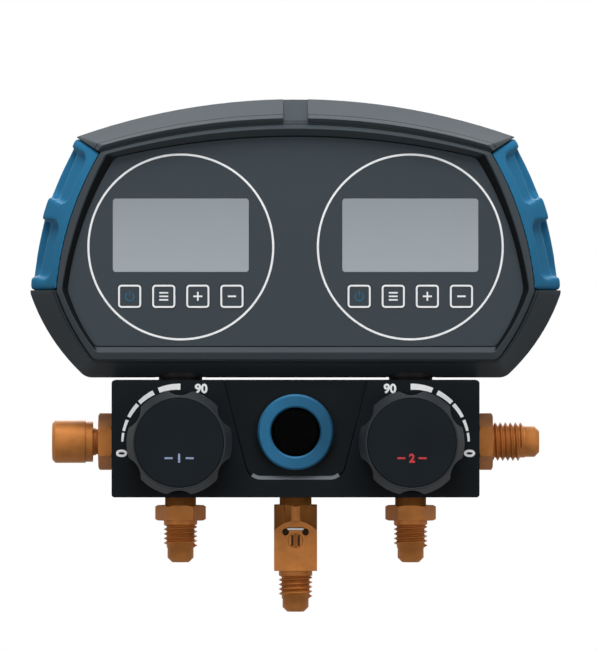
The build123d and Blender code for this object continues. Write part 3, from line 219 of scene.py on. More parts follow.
def dressed(name, finish):
    """A procedural material with uneven colour and gloss, a fine grain and soft edges."""
    material = bpy.data.materials.new(f"{name}_finish")
    material.use_nodes = True
    nodes = material.node_tree.nodes
    link = material.node_tree.links.new
    shader = nodes["Principled BSDF"]
    shader.inputs["Metallic"].default_value = finish.metallic
    shader.inputs["Specular IOR Level"].default_value = finish.specular
    for socket, value in finish.sockets:
        shader.inputs[socket].default_value = value

    place = nodes.new("ShaderNodeTexCoord")
    patches = nodes.new("ShaderNodeTexNoise")
    patches.inputs["Scale"].default_value = 1 / (finish.patch * MM)
    patches.inputs["Detail"].default_value = 3.0
    link(place.outputs["Object"], patches.inputs["Vector"])

    ramp = nodes.new("ShaderNodeValToRGB")
    dark = [channel * finish.darker for channel in finish.colour]
    ramp.color_ramp.elements[0].position = 0.3
    ramp.color_ramp.elements[0].color = (*dark, 1)
    ramp.color_ramp.elements[1].position = 0.62
    ramp.color_ramp.elements[1].color = (*finish.colour, 1)
    link(patches.outputs["Fac"], ramp.inputs["Fac"])
    link(ramp.outputs["Color"], shader.inputs["Base Color"])

    link(ranged(material, patches.outputs["Fac"], 0, 1, *finish.gloss), shader.inputs["Roughness"])

    stretch = nodes.new("ShaderNodeMapping")
    stretch.inputs["Scale"].default_value = finish.stretch
    link(place.outputs["Object"], stretch.inputs["Vector"])
    grain = nodes.new("ShaderNodeTexNoise")
    grain.inputs["Scale"].default_value = 1 / (finish.grain * MM)
    grain.inputs["Detail"].default_value = 2.0
    link(stretch.outputs["Vector"], grain.inputs["Vector"])
    bump = nodes.new("ShaderNodeBump")
    bump.inputs["Strength"].default_value = 0.5
    bump.inputs["Distance"].default_value = finish.relief * MM
    link(grain.outputs["Fac"], bump.inputs["Height"])
    if finish.edge:
        edge = nodes.new("ShaderNodeBevel")
        edge.samples = 4
        edge.inputs["Radius"].default_value = finish.edge * MM
        link(edge.outputs["Normal"], bump.inputs["Normal"])
    link(bump.outputs["Normal"], shader.inputs["Normal"])
    return material


def scale_colour(material, factor):
    """Multiplies a finish's colour by a node output."""
    nodes = material.node_tree.nodes
    colour = nodes["Principled BSDF"].inputs["Base Color"]
    scaled = nodes.new("ShaderNodeVectorMath")
    scaled.operation = "SCALE"
    material.node_tree.links.new(colour.links[0].from_socket, scaled.inputs[0])
    material.node_tree.links.new(factor, scaled.inputs["Scale"])
    material.node_tree.links.new(scaled.outputs["Vector"], colour)


def fade(material, axis, begin, end, first, last):
    """Scales a finish's colour from one place on an axis to another."""
    scale_colour(material, ranged(material, object_place(material)[axis], begin, end, first, last))
    return material


def moulded_case():
    """Matt plastic, with painted shade that makes the walls round the face plate nearly black at the sides and at
    their foot.
    """
    material = dressed("moulded_case", Finish(
        tuple(colours().case), darker=0.93, patch=30, gloss=(0.55, 0.68), grain=0.35, relief=0.02, edge=0.4,
        specular=0.05,
    ))
    wall = (PLATE_Y - 1.2 * MM, 1.32 * MM)      # middle of the walls' depth and half of it
    foot = (PLATE_Y - 0.15 * MM, 0.27 * MM)     # the same for the line of painted shade at their foot
    facing_in = (0.2, 0.5)      # a wall that faces the middle less is left alone, one that does more gets the painted shade
    shadow = 0.12               # brightness left where shade is painted

    place = object_place(material)
    geometry = material.node_tree.nodes.new("ShaderNodeNewGeometry")
    normal = split(material, geometry.outputs["True Normal"])
    side = math_node(material, "SIGN", place["X"])
    outward = math_node(material, "MULTIPLY", side, normal["X"])
    inward = math_node(material, "MULTIPLY", outward, -1.0)
    on_wall = math_node(material, "COMPARE", place["Y"], *wall)
    at_foot = math_node(material, "COMPARE", place["Y"], *foot)
    # painted shade: walls that face the middle, and the line at their foot, drop to the shadow's brightness
    wall_shade = math_node(material, "MULTIPLY", ranged(material, inward, *facing_in, 0, 1), on_wall)
    dark = math_node(material, "MAXIMUM", wall_shade, at_foot)
    scale_colour(material, ranged(material, dark, 0, 1, 1, shadow))
    return material


def face_film():
    return dressed("face_film", Finish(
        tuple(colours().plate), darker=0.95, patch=40, gloss=(0.36, 0.44), grain=0.25, relief=0.006, edge=0.2,
        specular=0.05,
    ))


def grip_rubber():
    return dressed("grip_rubber", Finish(
        tuple(colours().grip), darker=0.9, patch=9, gloss=(0.55, 0.7), grain=0.3, relief=0.03, edge=0.0,
        specular=0.08,
    ))


def print_ink(name, colour, darker=0.9):
    return dressed(name, Finish(
        tuple(colour), darker=darker, patch=2, gloss=(0.45, 0.6), grain=0.15, relief=0.004, edge=0.0,
    ))


def white_ink():
    return print_ink("white_ink", colours().ink, darker=0.93)


def power_ink():
    return print_ink("power_ink", colours().power)


def low_ink():
    return print_ink("low_ink", colours().low_mark)


def high_ink():
    return print_ink("high_ink", colours().high_mark)


def black_anodised():
    return dressed("black_anodised", Finish(
        tuple(colours().block), darker=0.85, patch=25, gloss=(0.4, 0.52), grain=0.25, relief=0.01,
        stretch=(0.08, 1, 1), edge=0.25, specular=0.05,
    ))


def foot_highlight():
    """Pale strip at the pocket's foot: a painted highlight where its bevel faces the light."""
    return dressed("foot_highlight", Finish(
        shade(104, 109, 114), darker=0.9, patch=5, gloss=(0.4, 0.5), grain=0.2, relief=0.006, edge=0.1,
        specular=0.1,
    ))


# painted shadow: near-black sheets laid along the pocket's sides, where they are in shade
def shadow_line():
    return dressed("shadow_line", Finish(
        shade(5, 6, 7), darker=0.8, patch=3, gloss=(0.7, 0.8), grain=0.2, relief=0.002, edge=0.0, specular=0.0,
    ))


def blue_anodised():
    """Turned ring with painted light: full colour on its left, fading to half on its right."""
    low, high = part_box("sight_glass_ring")
    return fade(dressed("blue_anodised", Finish(
        tuple(colours().ring), darker=0.84, patch=7, gloss=(0.4, 0.52), grain=0.2, relief=0.008,
        edge=0.15, metallic=0.3, specular=0.2,
    )), "X", low.x, high.x, 1.0, 0.5)


def knob_plastic():
    return dressed("knob_plastic", Finish(
        tuple(colours().knob), darker=0.88, patch=10, gloss=(0.42, 0.54), grain=0.3, relief=0.015, edge=0.4,
        specular=0.22,
    ))


def cap_plastic():
    return dressed("cap_plastic", Finish(
        tuple(colours().knob), darker=0.88, patch=14, gloss=(0.4, 0.5), grain=0.25, relief=0.008, edge=0.15,
        specular=0.04,
    ))


def brass(name):
    return dressed(name, Finish(
        tuple(colours().brass), darker=0.76, patch=5, gloss=(0.5, 0.64), grain=0.12, relief=0.01,
        stretch=(1, 1, 0.3), edge=0.15, metallic=0.32, specular=0.25,
    ))


def turned_brass():
    return brass("turned_brass")


# boxes on the service port where shade is painted, each as its low and its high corner in millimetres
HOLE_SHADE_BOXES = (((-5, -7.22, 15.5), (5, 0, 23.2)),)
SLOT_SHADE_BOXES = (
    ((-1.45, -9, 17.0), (-0.6, -6, 20.6)),
    ((0.6, -9, 17.0), (1.45, -6, 20.6)),
)


def paint_shade(material, boxes, shadow=0.06):
    """Paints shade into a finish: darkens it where Object coordinates lie in one of the boxes."""
    place = object_place(material)
    for low, high in boxes:
        inside = 1.0
        for axis, first, last in zip("XYZ", low, high):
            centre, reach = (first + last) / 2 * MM, (last - first) / 2 * MM
            within = math_node(material, "COMPARE", place[axis], centre, reach)
            inside = math_node(material, "MULTIPLY", inside, within)
        # painted shade inside each box
        scale_colour(material, ranged(material, inside, 0, 1, 1, shadow))
    return material


def drilled_brass_shaded():
    """Turned brass with painted shade down in the blind holes, the pin's groove and the spindle's bore."""
    return paint_shade(brass("drilled_brass_shaded"), HOLE_SHADE_BOXES)


def spindle_brass_shaded():
    """Turned brass with painted shade beside the driver slot and in the gap around the spindle."""
    return paint_shade(brass("spindle_brass_shaded"), SLOT_SHADE_BOXES)


def black_rubber():
    return dressed("black_rubber", Finish(
        shade(24, 25, 27), darker=0.8, patch=6, gloss=(0.6, 0.75), grain=0.3, relief=0.02, edge=0.2, specular=0.15,
    ))


def black_moulding():
    return dressed("black_moulding", Finish(
        shade(20, 21, 23), darker=0.85, patch=10, gloss=(0.45, 0.58), grain=0.35, relief=0.02, edge=0.3,
        specular=0.12,
    ))


def bright_steel():
    return dressed("bright_steel", Finish(
        shade(176, 178, 180), darker=0.82, patch=4, gloss=(0.22, 0.36), grain=0.15, relief=0.005, edge=0.15,
        metallic=1.0, specular=0.5,
    ))


def spring_steel():
    return dressed("spring_steel", Finish(
        shade(150, 152, 156), darker=0.8, patch=3, gloss=(0.25, 0.4), grain=0.15, relief=0.005, edge=0.1,
        metallic=1.0, specular=0.5,
    ))


def key_silicone():
    return dressed("key_silicone", Finish(
        shade(60, 66, 71), darker=0.9, patch=6, gloss=(0.5, 0.62), grain=0.25, relief=0.01, edge=0.3, specular=0.2,
    ))


def circuit_board():
    return dressed("circuit_board", Finish(
        shade(22, 78, 48), darker=0.75, patch=3, gloss=(0.3, 0.45), grain=0.4, relief=0.02, edge=0.1,
    ))


def battery_wrap():
    return dressed("battery_wrap", Finish(
        shade(58, 60, 64), darker=0.8, patch=18, gloss=(0.25, 0.35), grain=0.3, relief=0.005, edge=0.3,
    ))


def white_ptfe():
    return dressed("white_ptfe", Finish(
        shade(226, 226, 220), darker=0.93, patch=5, gloss=(0.45, 0.6), grain=0.3, relief=0.01, edge=0.2,
    ))


def lcd_glass():
    return dressed("lcd_glass", Finish(
        shade(120, 128, 122), darker=0.95, patch=30, gloss=(0.1, 0.16), grain=0.5, relief=0.002, edge=0.1,
    ))


def screen_film():
    """The unlit display with painted light: full colour at its lower edge, darker towards its upper edge."""
    return fade(dressed("screen_film", Finish(
        tuple(colours().screen), darker=0.985, patch=8, gloss=(0.3, 0.36), grain=0.3, relief=0.003, edge=0.15,
        specular=0.1,
    )), "Z", DISPLAY_LOW.z, DISPLAY_HIGH.z, 1.0, 0.8)


def sight_glass():
    """Clear lens with a faint uneven polish."""
    return dressed("sight_glass", Finish(
        shade(120, 124, 128), darker=0.95, patch=6, gloss=(0.03, 0.06), grain=2.0, relief=0.001, edge=0.2,
        specular=0.5, sockets=(("Transmission Weight", 1.0), ("IOR", 1.08)),
    ))


MATERIALS = {
    moulded_case: ("front_shell", "rear_shell", "battery_door"),
    face_film: ("face_plate", *(f"key_{hand}_{name}" for hand in HANDS for name in KEYS)),
    grip_rubber: ("grip_left", "grip_right"),
    screen_film: ("display_lenses",),
    lcd_glass: ("lcd_left", "lcd_right"),
    key_silicone: ("keypad",),
    circuit_board: ("main_board",),
    battery_wrap: ("batteries",),
    spring_steel: ("battery_springs", "battery_contacts"),
    bright_steel: ("case_screws", "board_screws", "hook_pin", "low_knob_screw", "high_knob_screw",
                   "low_stem", "high_stem", "low_ball", "high_ball", "service_ball", "service_pin"),
    black_moulding: ("hanging_hook", "sensor_collars", "sensor_nuts", "sight_glass_insert"),
    black_anodised: ("manifold_body",),
    blue_anodised: ("sight_glass_ring",),
    sight_glass: ("sight_glass_lens",),
    black_rubber: ("sight_glass_seal", "cap_seal", "stem_seals"),
    knob_plastic: ("low_knob", "high_knob"),
    cap_plastic: ("low_knob_cap", "high_knob_cap"),
    white_ptfe: ("ball_seats",),
    turned_brass: ("low_sensor", "high_sensor", "low_bonnet", "high_bonnet", "side_port_left",
                   "side_port_right", "port_cap", "low_port", "high_port"),
    drilled_brass_shaded: ("service_port",),
    spindle_brass_shaded: ("service_spindle",),
}


made_materials = {}


def material(make):
    """The material that a function makes, made once."""
    if make not in made_materials:
        made_materials[make] = make()
    return made_materials[make]


# ---------------------------------------------------------------- making pieces
def linked(name, data):
    """A new object in the scene."""
    obj = bpy.data.objects.new(name, data)
    bpy.context.scene.collection.objects.link(obj)
    return obj


WELD = 0.001 * MM       # points nearer than this are one point
SHARP = math.radians(15)


def piece(name, bm, make, body, sharp=SHARP):
    """Turns a finished bmesh into a piece that rides on a body."""
    bmesh.ops.remove_doubles(bm, verts=bm.verts, dist=WELD)
    bmesh.ops.recalc_face_normals(bm, faces=bm.faces)
    mesh = bpy.data.meshes.new(name)
    bm.to_mesh(mesh)
    bm.free()
    mesh.shade_smooth()
    mesh.set_sharp_from_angle(angle=sharp)
    mesh.materials.append(material(make))
    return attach(linked(name, mesh), body)


def copied(node):
    """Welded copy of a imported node's mesh."""
    bm = bmesh.new()
    bm.from_mesh(frame["nodes"][node].data)
    bmesh.ops.remove_doubles(bm, verts=bm.verts, dist=WELD)
    return bm


def thicken(bm, depth):
    """Gives flat front-facing shapes a thickness towards the front."""
    faces = list(bm.faces)
    grown = bmesh.ops.extrude_face_region(bm, geom=faces, use_keep_orig=True)
    moved = [item for item in grown["geom"] if isinstance(item, bmesh.types.BMVert)]
    bmesh.ops.translate(bm, verts=moved, vec=(0, -depth, 0))


def lay(bm, geometry, x, y, z, width=1.0, height=1.0):
    """Stands geometry drawn in the XY plane up to face the front, scaled and placed."""
    stood = Matrix.Translation((x, y, z)) @ Matrix.Rotation(math.radians(90), 4, "X")
    bmesh.ops.transform(bm, matrix=stood @ Matrix.Diagonal((width, height, 1, 1)), verts=geometry)


def islands(bm):
    """Vertices of each separate solid in a bmesh."""
    waiting = set(bm.verts)
    found = []
    while waiting:
        grown = [waiting.pop()]
        for vert in grown:
            near = {edge.other_vert(vert) for edge in vert.link_edges} & waiting
            waiting -= near
            grown.extend(sorted(near, key=lambda item: item.index))
        found.append(grown)
    return found


def add_bar(bm, x, y, z, width, height):
    """Flat rectangle that faces the front."""
    made = bmesh.ops.create_grid(bm, x_segments=1, y_segments=1, size=0.5)
    lay(bm, made["verts"], x, y, z, width, height)


def add_frame(bm, x, y, z, width, corner, line):
    """Flat rounded-square outline that faces the front."""
    made = bmesh.ops.create_grid(bm, x_segments=1, y_segments=1, size=width / 2)
    bmesh.ops.bevel(
        bm, geom=made["verts"], offset=corner, offset_type="OFFSET", segments=6,
        profile=0.5, affect="VERTICES", material=-1,
    )
    sheet = bm.faces[:]
    bmesh.ops.inset_region(bm, faces=sheet, thickness=line, use_boundary=True, use_even_offset=True)
    bmesh.ops.delete(bm, geom=sheet, context="FACES")
    lay(bm, bm.verts[:], x, y, z)


def add_arc(bm, x, y, z, inner, outer, start, sweep, steps):
    """Flat arc band that faces the front; angles count from +X towards +Z."""
    near = bm.verts.new((x + inner * math.cos(start), y, z + inner * math.sin(start)))
    far = bm.verts.new((x + outer * math.cos(start), y, z + outer * math.sin(start)))
    edge = bm.edges.new((near, far))
    bmesh.ops.spin(
        bm, geom=[near, far, edge], cent=(x, y, z), axis=(0, -1, 0), angle=sweep, steps=steps,
        use_merge=math.isclose(abs(sweep), math.tau),
    )


def add_turned(bm, profile, steps=48):
    """Turns a closed (height, radius) profile about local Z; both in millimetres."""
    points = [bm.verts.new((radius * MM, 0, height * MM)) for height, radius in profile]
    loop = [bm.edges.new(pair) for pair in zip(points, points[1:] + points[:1])]
    bmesh.ops.spin(
        bm, geom=points + loop, cent=(0, 0, 0), axis=(0, 0, 1), angle=math.tau, steps=steps, use_merge=True,
    )


def add_thread(bm, start, end, root, crest, pitch, steps=30):
    """Winds a thread ridge about local Z from start to end, in millimetres."""
    flank, flat = 0.46 * pitch, 0.06 * pitch
    ridge = ((start - flank, root), (start - flat, crest), (start + flat, crest), (start + flank, root))
    points = [bm.verts.new((radius * MM, 0, height * MM)) for height, radius in ridge]
    loop = [bm.edges.new(pair) for pair in zip(points, points[1:] + points[:1])]
    turns = (end - start) / pitch
    bmesh.ops.spin(
        bm, geom=points + loop, cent=(0, 0, 0), axis=(0, 0, 1), dvec=(0, 0, pitch * MM / steps),
        angle=turns * math.tau, steps=round(turns * steps),
    )
    bmesh.ops.holes_fill(bm, edges=[edge for edge in bm.edges if edge.is_boundary])


def printed(name, text, height, place, make, body):
    """Bold figures printed on a surface: text made a mesh, scaled to a height and placed."""
    curve = bpy.data.curves.new(name, "FONT")
    curve.body = text
    curve.offset = 0.04
    curve.align_x = "CENTER"
    curve.align_y = "CENTER"
    curve.extrude = 0.5
    source = bpy.data.objects.new(name, curve)
    mesh = bpy.data.meshes.new_from_object(source)
    bpy.data.objects.remove(source)
    bm = bmesh.new()
    bm.from_mesh(mesh)
    bpy.data.meshes.remove(mesh)
    low = min(vert.co.y for vert in bm.verts)
    high = max(vert.co.y for vert in bm.verts)
    scale = height / (high - low)
    centre = Matrix.Translation((0, -(low + high) / 2, 0))
    size = Matrix.Diagonal((scale, scale, 2 * sizes().ink, 1))
    bmesh.ops.transform(bm, matrix=place @ size @ centre, verts=bm.verts[:])
    return piece(name, bm, make, body)


def facing(x, y, z, turn=0.0):
    """Stands a flat drawing up at a place, turned in its plane."""
    return (Matrix.Translation((x, y, z)) @ Matrix.Rotation(math.radians(90), 4, "X")
            @ Matrix.Rotation(turn, 4, "Z"))


# ---------------------------------------------------------------- operators
class GAUGE_OT_finishes(bpy.types.Operator):
    """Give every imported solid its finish"""

    bl_idname = "gauge.finishes"
    bl_label = "Finishes"

    def execute(self, context):
        for make, nodes in MATERIALS.items():
            for node in nodes:
                slots = frame["nodes"][node].data.materials
                slots.clear()
                slots.append(material(make))
        return {"FINISHED"}


class GAUGE_OT_grips(bpy.types.Operator):
    """Mould the soft rubber grips with rounded finger valleys"""

    bl_idname = "gauge.grips"
    bl_label = "Grips"

    smoothing = 40          # passes over the mesh

    def execute(self, context):
        for hand in HANDS:
            node = f"grip_{hand}"
            bm = copied(node)
            blank = bpy.data.meshes.new(node)
            bm.to_mesh(blank)
            bm.free()
            mould = linked(f"{node}_mould", blank)
            remesh = mould.modifiers.new("remesh", "REMESH")
            remesh.mode = "VOXEL"
            remesh.voxel_size = context.scene.gauge_sizes.voxel
            soften = mould.modifiers.new("soften", "SMOOTH")
            soften.factor = 0.5
            soften.iterations = self.smoothing
            solid = mould.evaluated_get(context.evaluated_depsgraph_get())
            rubber = bmesh.new()
            rubber.from_mesh(solid.to_mesh())
            solid.to_mesh_clear()
            bpy.data.objects.remove(mould)
            bpy.data.meshes.remove(blank)
            grip = piece(f"{node}_rubber", rubber, grip_rubber, "gauge", sharp=math.radians(60))
            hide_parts(node)
        return {"FINISHED"}


class Flare(NamedTuple):
    """Threaded end of a fitting; millimetres outwards from the block, and radii."""

    start: float
    thread_end: float
    end: float
    crest: float
    root: float
    nose: float
    bore: float
    lead: float = 0.0       # length before the first turn
    collar: float = 0.0     # plain length as thick as the thread
    pitch: float = 1.5


SMALL = {"crest": 5.45, "root": 4.5, "nose": 4.25}


class GAUGE_OT_fittings(bpy.types.Operator):
    """Cut the flare threads of the brass fittings"""

    bl_idname = "gauge.fittings"
    bl_label = "Fittings"

    flares = {
        "low_port": Flare(7.8, 16.7, 21.4, bore=2.4, lead=0.6, collar=1.25, **SMALL),
        "high_port": Flare(7.8, 16.7, 21.4, bore=2.4, lead=0.6, collar=1.25, **SMALL),
        "service_port": Flare(24.1, 33.2, 37.5, bore=2.0, lead=0.8, collar=1.6, **SMALL),
        "side_port_left": Flare(5.5, 14.7, 17.0, bore=2.4, lead=1.6, **SMALL),
        "side_port_right": Flare(4.6, 15.0, 19.7, crest=6.25, root=5.2, nose=5.0, bore=3.0, pitch=1.65),
    }
    chamfer = 1.5

    # body of the service port, in millimetres; depths and half widths from its axis
    shelf = 22.0            # below it the body is made here on every side
    flat = 6.98             # half width over the side flats, a hair inside the faces of the CAD copy
    corner = 4.02           # depth of the back corners
    ridge = 8.04            # depth of the back ridge
    face = 7.3              # depth of the milled front
    cavity = ((4.6, 0.0), (4.6, 2.6), (0.0, 5.3), (-4.6, 2.6), (-4.6, 0.0))
    levels = (7.8, 9.6, 18.8)   # back closed, back hollow around the ball, back closed

    def close_back(self, bm):
        """Closes the back and the foot of the service port's body around its ball and bore."""
        bore = self.flares["service_port"].bore
        end = self.flares["service_port"].start
        turns = [math.radians(step * 30) for step in range(7)]
        arc = [(bore * math.cos(turn), bore * math.sin(turn)) for turn in turns]
        outside = [(-self.flat, 0), (-self.flat, self.corner), (0, self.ridge),
                   (self.flat, self.corner), (self.flat, 0)]
        high, hollow, low = self.levels
        for inner, start, stop in ((arc, high, hollow), (self.cavity, hollow, low), (arc, low, end)):
            self.prism(bm, [*outside, *inner], start, stop)
        front = [(-self.flat, 0), (-self.flat, -self.face), (self.flat, -self.face), (self.flat, 0)]
        self.prism(bm, [*front, *((x, -y) for x, y in arc)], self.shelf, end)

    def prism(self, bm, outline, start, stop):
        """Prism along local Z over an outline seen from above the gauge."""
        face = bm.faces.new([bm.verts.new((x * MM, -y * MM, start * MM)) for x, y in outline])
        grown = bmesh.ops.extrude_face_region(bm, geom=[face], use_keep_orig=True)
        moved = [item for item in grown["geom"] if isinstance(item, bmesh.types.BMVert)]
        bmesh.ops.translate(bm, verts=moved, vec=(0, 0, (stop - start) * MM))

    def outlet(self, node):
        """Frame with its origin on the block's face and its Z axis out of the fitting."""
        centre = middle(node)
        if node.startswith("side"):
            way = 1 if centre.x > 0 else -1
            turn = Matrix.Rotation(math.radians(90) * way, 4, "Y")
            return Matrix.Translation((BLOCK_HIGH.x * way, 0, centre.z)) @ turn
        return Matrix.Translation((centre.x, 0, BLOCK_LOW.z)) @ Matrix.Rotation(math.pi, 4, "X")

    def execute(self, context):
        for node, flare in self.flares.items():
            outlet = self.outlet(node)
            bm = copied(node)
            bmesh.ops.transform(bm, matrix=outlet.inverted(), verts=bm.verts)
            solid = bm.verts[:] + bm.edges[:] + bm.faces[:]
            service = node == "service_port"
            cut = (self.shelf if service else flare.start) * MM + 10 * WELD
            bmesh.ops.bisect_plane(bm, geom=solid, plane_co=(0, 0, cut), plane_no=(0, 0, 1), clear_outer=True)
            rims = [edge for edge in bm.edges if edge.is_boundary]
            if service:
                bmesh.ops.holes_fill(bm, edges=rims)
                self.close_back(bm)
            else:
                bmesh.ops.bridge_loops(bm, edges=rims)
            add_turned(bm, (
                (flare.start, flare.bore), (flare.start, flare.crest if flare.collar else flare.root),
                (flare.start + flare.collar, flare.crest if flare.collar else flare.root),
                (flare.start + flare.collar + 0.4, flare.root), (flare.thread_end, flare.root),
                (flare.thread_end, flare.nose), (flare.end - self.chamfer, flare.nose),
                (flare.end, flare.nose - self.chamfer), (flare.end, flare.bore),
            ))
            add_thread(
                bm, flare.start + flare.lead, flare.thread_end - flare.pitch / 2, flare.root - 0.2,
                flare.crest, flare.pitch,
            )
            bmesh.ops.transform(bm, matrix=outlet, verts=bm.verts)
            fitting = piece(f"{node}_threaded", bm, drilled_brass_shaded if service else turned_brass, "gauge")
            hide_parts(node)
        return {"FINISHED"}


class GAUGE_OT_case_screws(bpy.types.Operator):
    """Press a cross recess into the heads of the case screws"""

    bl_idname = "gauge.case_screws"
    bl_label = "Case screws"

    head = (2.8, 2.2)       # radius and height
    shank = (1.5, 18.0)     # radius and length below the head
    crown = 0.7             # rounding of the head's edge
    arm = 0.8               # width of a recess arm, of which the cross spans three
    recess = 1.2

    def add_screw(self, bm):
        """One screw with its seat on the origin and its head along local Z."""
        known = set(bm.verts)
        radius, height = self.head
        crown = radius - self.crown
        rim = bmesh.ops.create_circle(bm, segments=24, radius=crown * MM)["verts"]
        cross = bmesh.ops.create_grid(bm, x_segments=3, y_segments=3, size=1.5 * self.arm * MM)["verts"]
        cells = {face for vert in cross for face in vert.link_faces}
        corners = [face for face in cells if min(map(abs, face.calc_center_median().xy)) > self.arm * MM / 2]
        bmesh.ops.delete(bm, geom=corners, context="FACES")
        cross = [vert for vert in cross if vert.is_valid]
        cells = {face for vert in cross for face in vert.link_faces}
        outline = {edge for vert in rim + cross for edge in vert.link_edges if len(edge.link_faces) < 2}
        bmesh.ops.bridge_loops(bm, edges=list(outline))
        sunk = bmesh.ops.extrude_face_region(bm, geom=list(cells))["geom"]
        floor = [item for item in sunk if isinstance(item, bmesh.types.BMVert)]
        bmesh.ops.scale(bm, vec=(0.7, 0.7, 1), verts=floor)
        bmesh.ops.translate(bm, vec=(0, 0, -self.recess * MM), verts=floor)
        bmesh.ops.translate(
            bm, vec=(0, 0, height * MM), verts=[vert for vert in bm.verts if vert not in known],
        )
        # the head below its crown, its seat and the shank
        edge = [edge for edge in bm.edges if edge.is_boundary]
        steps = ((radius, height - self.crown), (radius, 0), (self.shank[0], 0), (self.shank[0], -self.shank[1]))
        level, reach = height, crown
        for wider, lower in steps:
            grown = bmesh.ops.extrude_edge_only(bm, edges=edge)["geom"]
            ring = [item for item in grown if isinstance(item, bmesh.types.BMVert)]
            bmesh.ops.scale(bm, vec=(wider / reach, wider / reach, 1), verts=ring)
            bmesh.ops.translate(bm, vec=(0, 0, (lower - level) * MM), verts=ring)
            edge = [item for item in grown if isinstance(item, bmesh.types.BMEdge)]
            level, reach = lower, wider
        bmesh.ops.holes_fill(bm, edges=edge)
        return [vert for vert in bm.verts if vert not in known]

    def execute(self, context):
        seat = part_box("case_screws")[1].y - self.head[1] * MM
        plain = copied("case_screws")
        centres = [sum((vert.co for vert in screw), Vector()) / len(screw) for screw in islands(plain)]
        plain.free()
        bm = bmesh.new()
        for centre in centres:
            made = self.add_screw(bm)
            place = Matrix.Translation((centre.x, seat, centre.z)) @ Matrix.Rotation(-math.pi / 2, 4, "X")
            bmesh.ops.transform(bm, matrix=place, verts=made)
        screws = piece("case_screws_cross", bm, bright_steel, "gauge")
        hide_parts("case_screws")
        return {"FINISHED"}


class GAUGE_OT_pocket_edges(bpy.types.Operator):
    """Edge the pocket around the sight glass: a painted highlight strip at its foot, painted shadow lines up its
    sides
    """

    bl_idname = "gauge.pocket_edges"
    bl_label = "Pocket edges"

    top = 23.7 * MM         # half widths of the pocket
    foot = 15.2 * MM
    rise = 5.8 * MM         # of its foot over the block's
    depth = 1.5 * MM
    rounding = 3.88 * MM    # length that each lower corner takes from its edges
    turn = 1.5 * MM         # height over the foot where the strip ends and the line starts
    # widths of the painted shadow line up each side and of the painted highlight strip at the foot
    side_line = 0.36 * MM
    foot_strip = 1.15 * MM
    corner = (11.32 * MM, 5.0 * MM)     # centre of the rounded corner, from the middle and over the foot
    corner_reach = 4.5 * MM             # points farther from it lie on the outline
    slack = 0.1 * MM

    def strip(self, line, low):
        """Band along the pocket's outline: the part at its foot or the two up its sides."""
        floor = BLOCK_LOW.y + self.depth
        start = BLOCK_LOW.z + self.rise
        bm = bmesh.new()
        outline = ((-self.foot, start), (self.foot, start), (self.top, BLOCK_HIGH.z), (-self.top, BLOCK_HIGH.z))
        corners = [bm.verts.new((x, floor, z)) for x, z in outline]
        bm.faces.new(corners)
        bmesh.ops.bevel(
            bm, geom=corners[:2], offset=self.rounding, offset_type="OFFSET", segments=8,
            profile=0.5, affect="VERTICES", material=-1,
        )
        sheet = bm.faces[:]
        bmesh.ops.inset_region(bm, faces=sheet, thickness=line, use_boundary=True, use_even_offset=True)
        bend = start + self.turn
        unwanted = [
            face for face in bm.faces
            if (face.calc_center_median().z > bend) == low or abs(face.normal.y * face.calc_area()) < 1e-12
            or face.calc_center_median().z > BLOCK_HIGH.z - line
        ]
        bmesh.ops.delete(bm, geom=list(set(unwanted + sheet)), context="FACES")
        return bm

    def outer(self, vert, level):
        """Whether a point of the strip lies on the pocket's own outline."""
        slope = (self.top - self.foot) / (BLOCK_HIGH.z - BLOCK_LOW.z - self.rise)
        side = self.foot + slope * (vert.co.z - BLOCK_LOW.z - self.rise)
        centre = Vector((self.corner[0], 0, BLOCK_LOW.z + self.rise + self.corner[1]))
        arm = Vector((abs(vert.co.x), 0, vert.co.z)) - centre
        if abs(vert.co.x) < centre.x:
            return vert.co.z < level
        return arm.length > self.corner_reach or abs(vert.co.x) > side - self.slack

    def execute(self, context):
        size = context.scene.gauge_sizes
        # painted shadow: near-black lines up the pocket's sides
        lines = self.strip(self.side_line, low=False)
        thicken(lines, size.ink)
        piece("pocket_side_shadow_lines", lines, shadow_line, "gauge")

        # painted highlight: a pale bevel along the pocket's foot
        bevel = self.strip(self.foot_strip, low=True)
        middle_line = BLOCK_LOW.z + self.rise + 0.5 * MM
        rim = {
            (round(vert.co.x, 7), round(vert.co.z, 7)) for edge in bevel.edges if edge.is_boundary
            for vert in edge.verts if self.outer(vert, middle_line)
        }
        thicken(bevel, self.depth)
        floor = BLOCK_LOW.y + self.depth
        for vert in bevel.verts:
            if vert.co.y < floor - size.ink and (round(vert.co.x, 7), round(vert.co.z, 7)) not in rim:
                vert.co.y = floor - size.ink
        piece("pocket_foot_highlight_bevel", bevel, foot_highlight, "gauge")
        return {"FINISHED"}


class GAUGE_OT_dial_rings(bpy.types.Operator):
    """Print the ring around each display"""

    bl_idname = "gauge.dial_rings"
    bl_label = "Dial rings"

    def execute(self, context):
        size = context.scene.gauge_sizes
        for hand in HANDS:
            centre = middle(f"lcd_{hand}")
            bm = bmesh.new()
            add_arc(
                bm, centre.x, PLATE_Y, centre.z - size.ring_drop,
                size.ring_radius - size.ring_line, size.ring_radius, 0, math.tau, 128,
            )
            thicken(bm, size.ink)
            ring = piece(f"{hand}_dial_ring", bm, white_ink, "gauge")
        return {"FINISHED"}


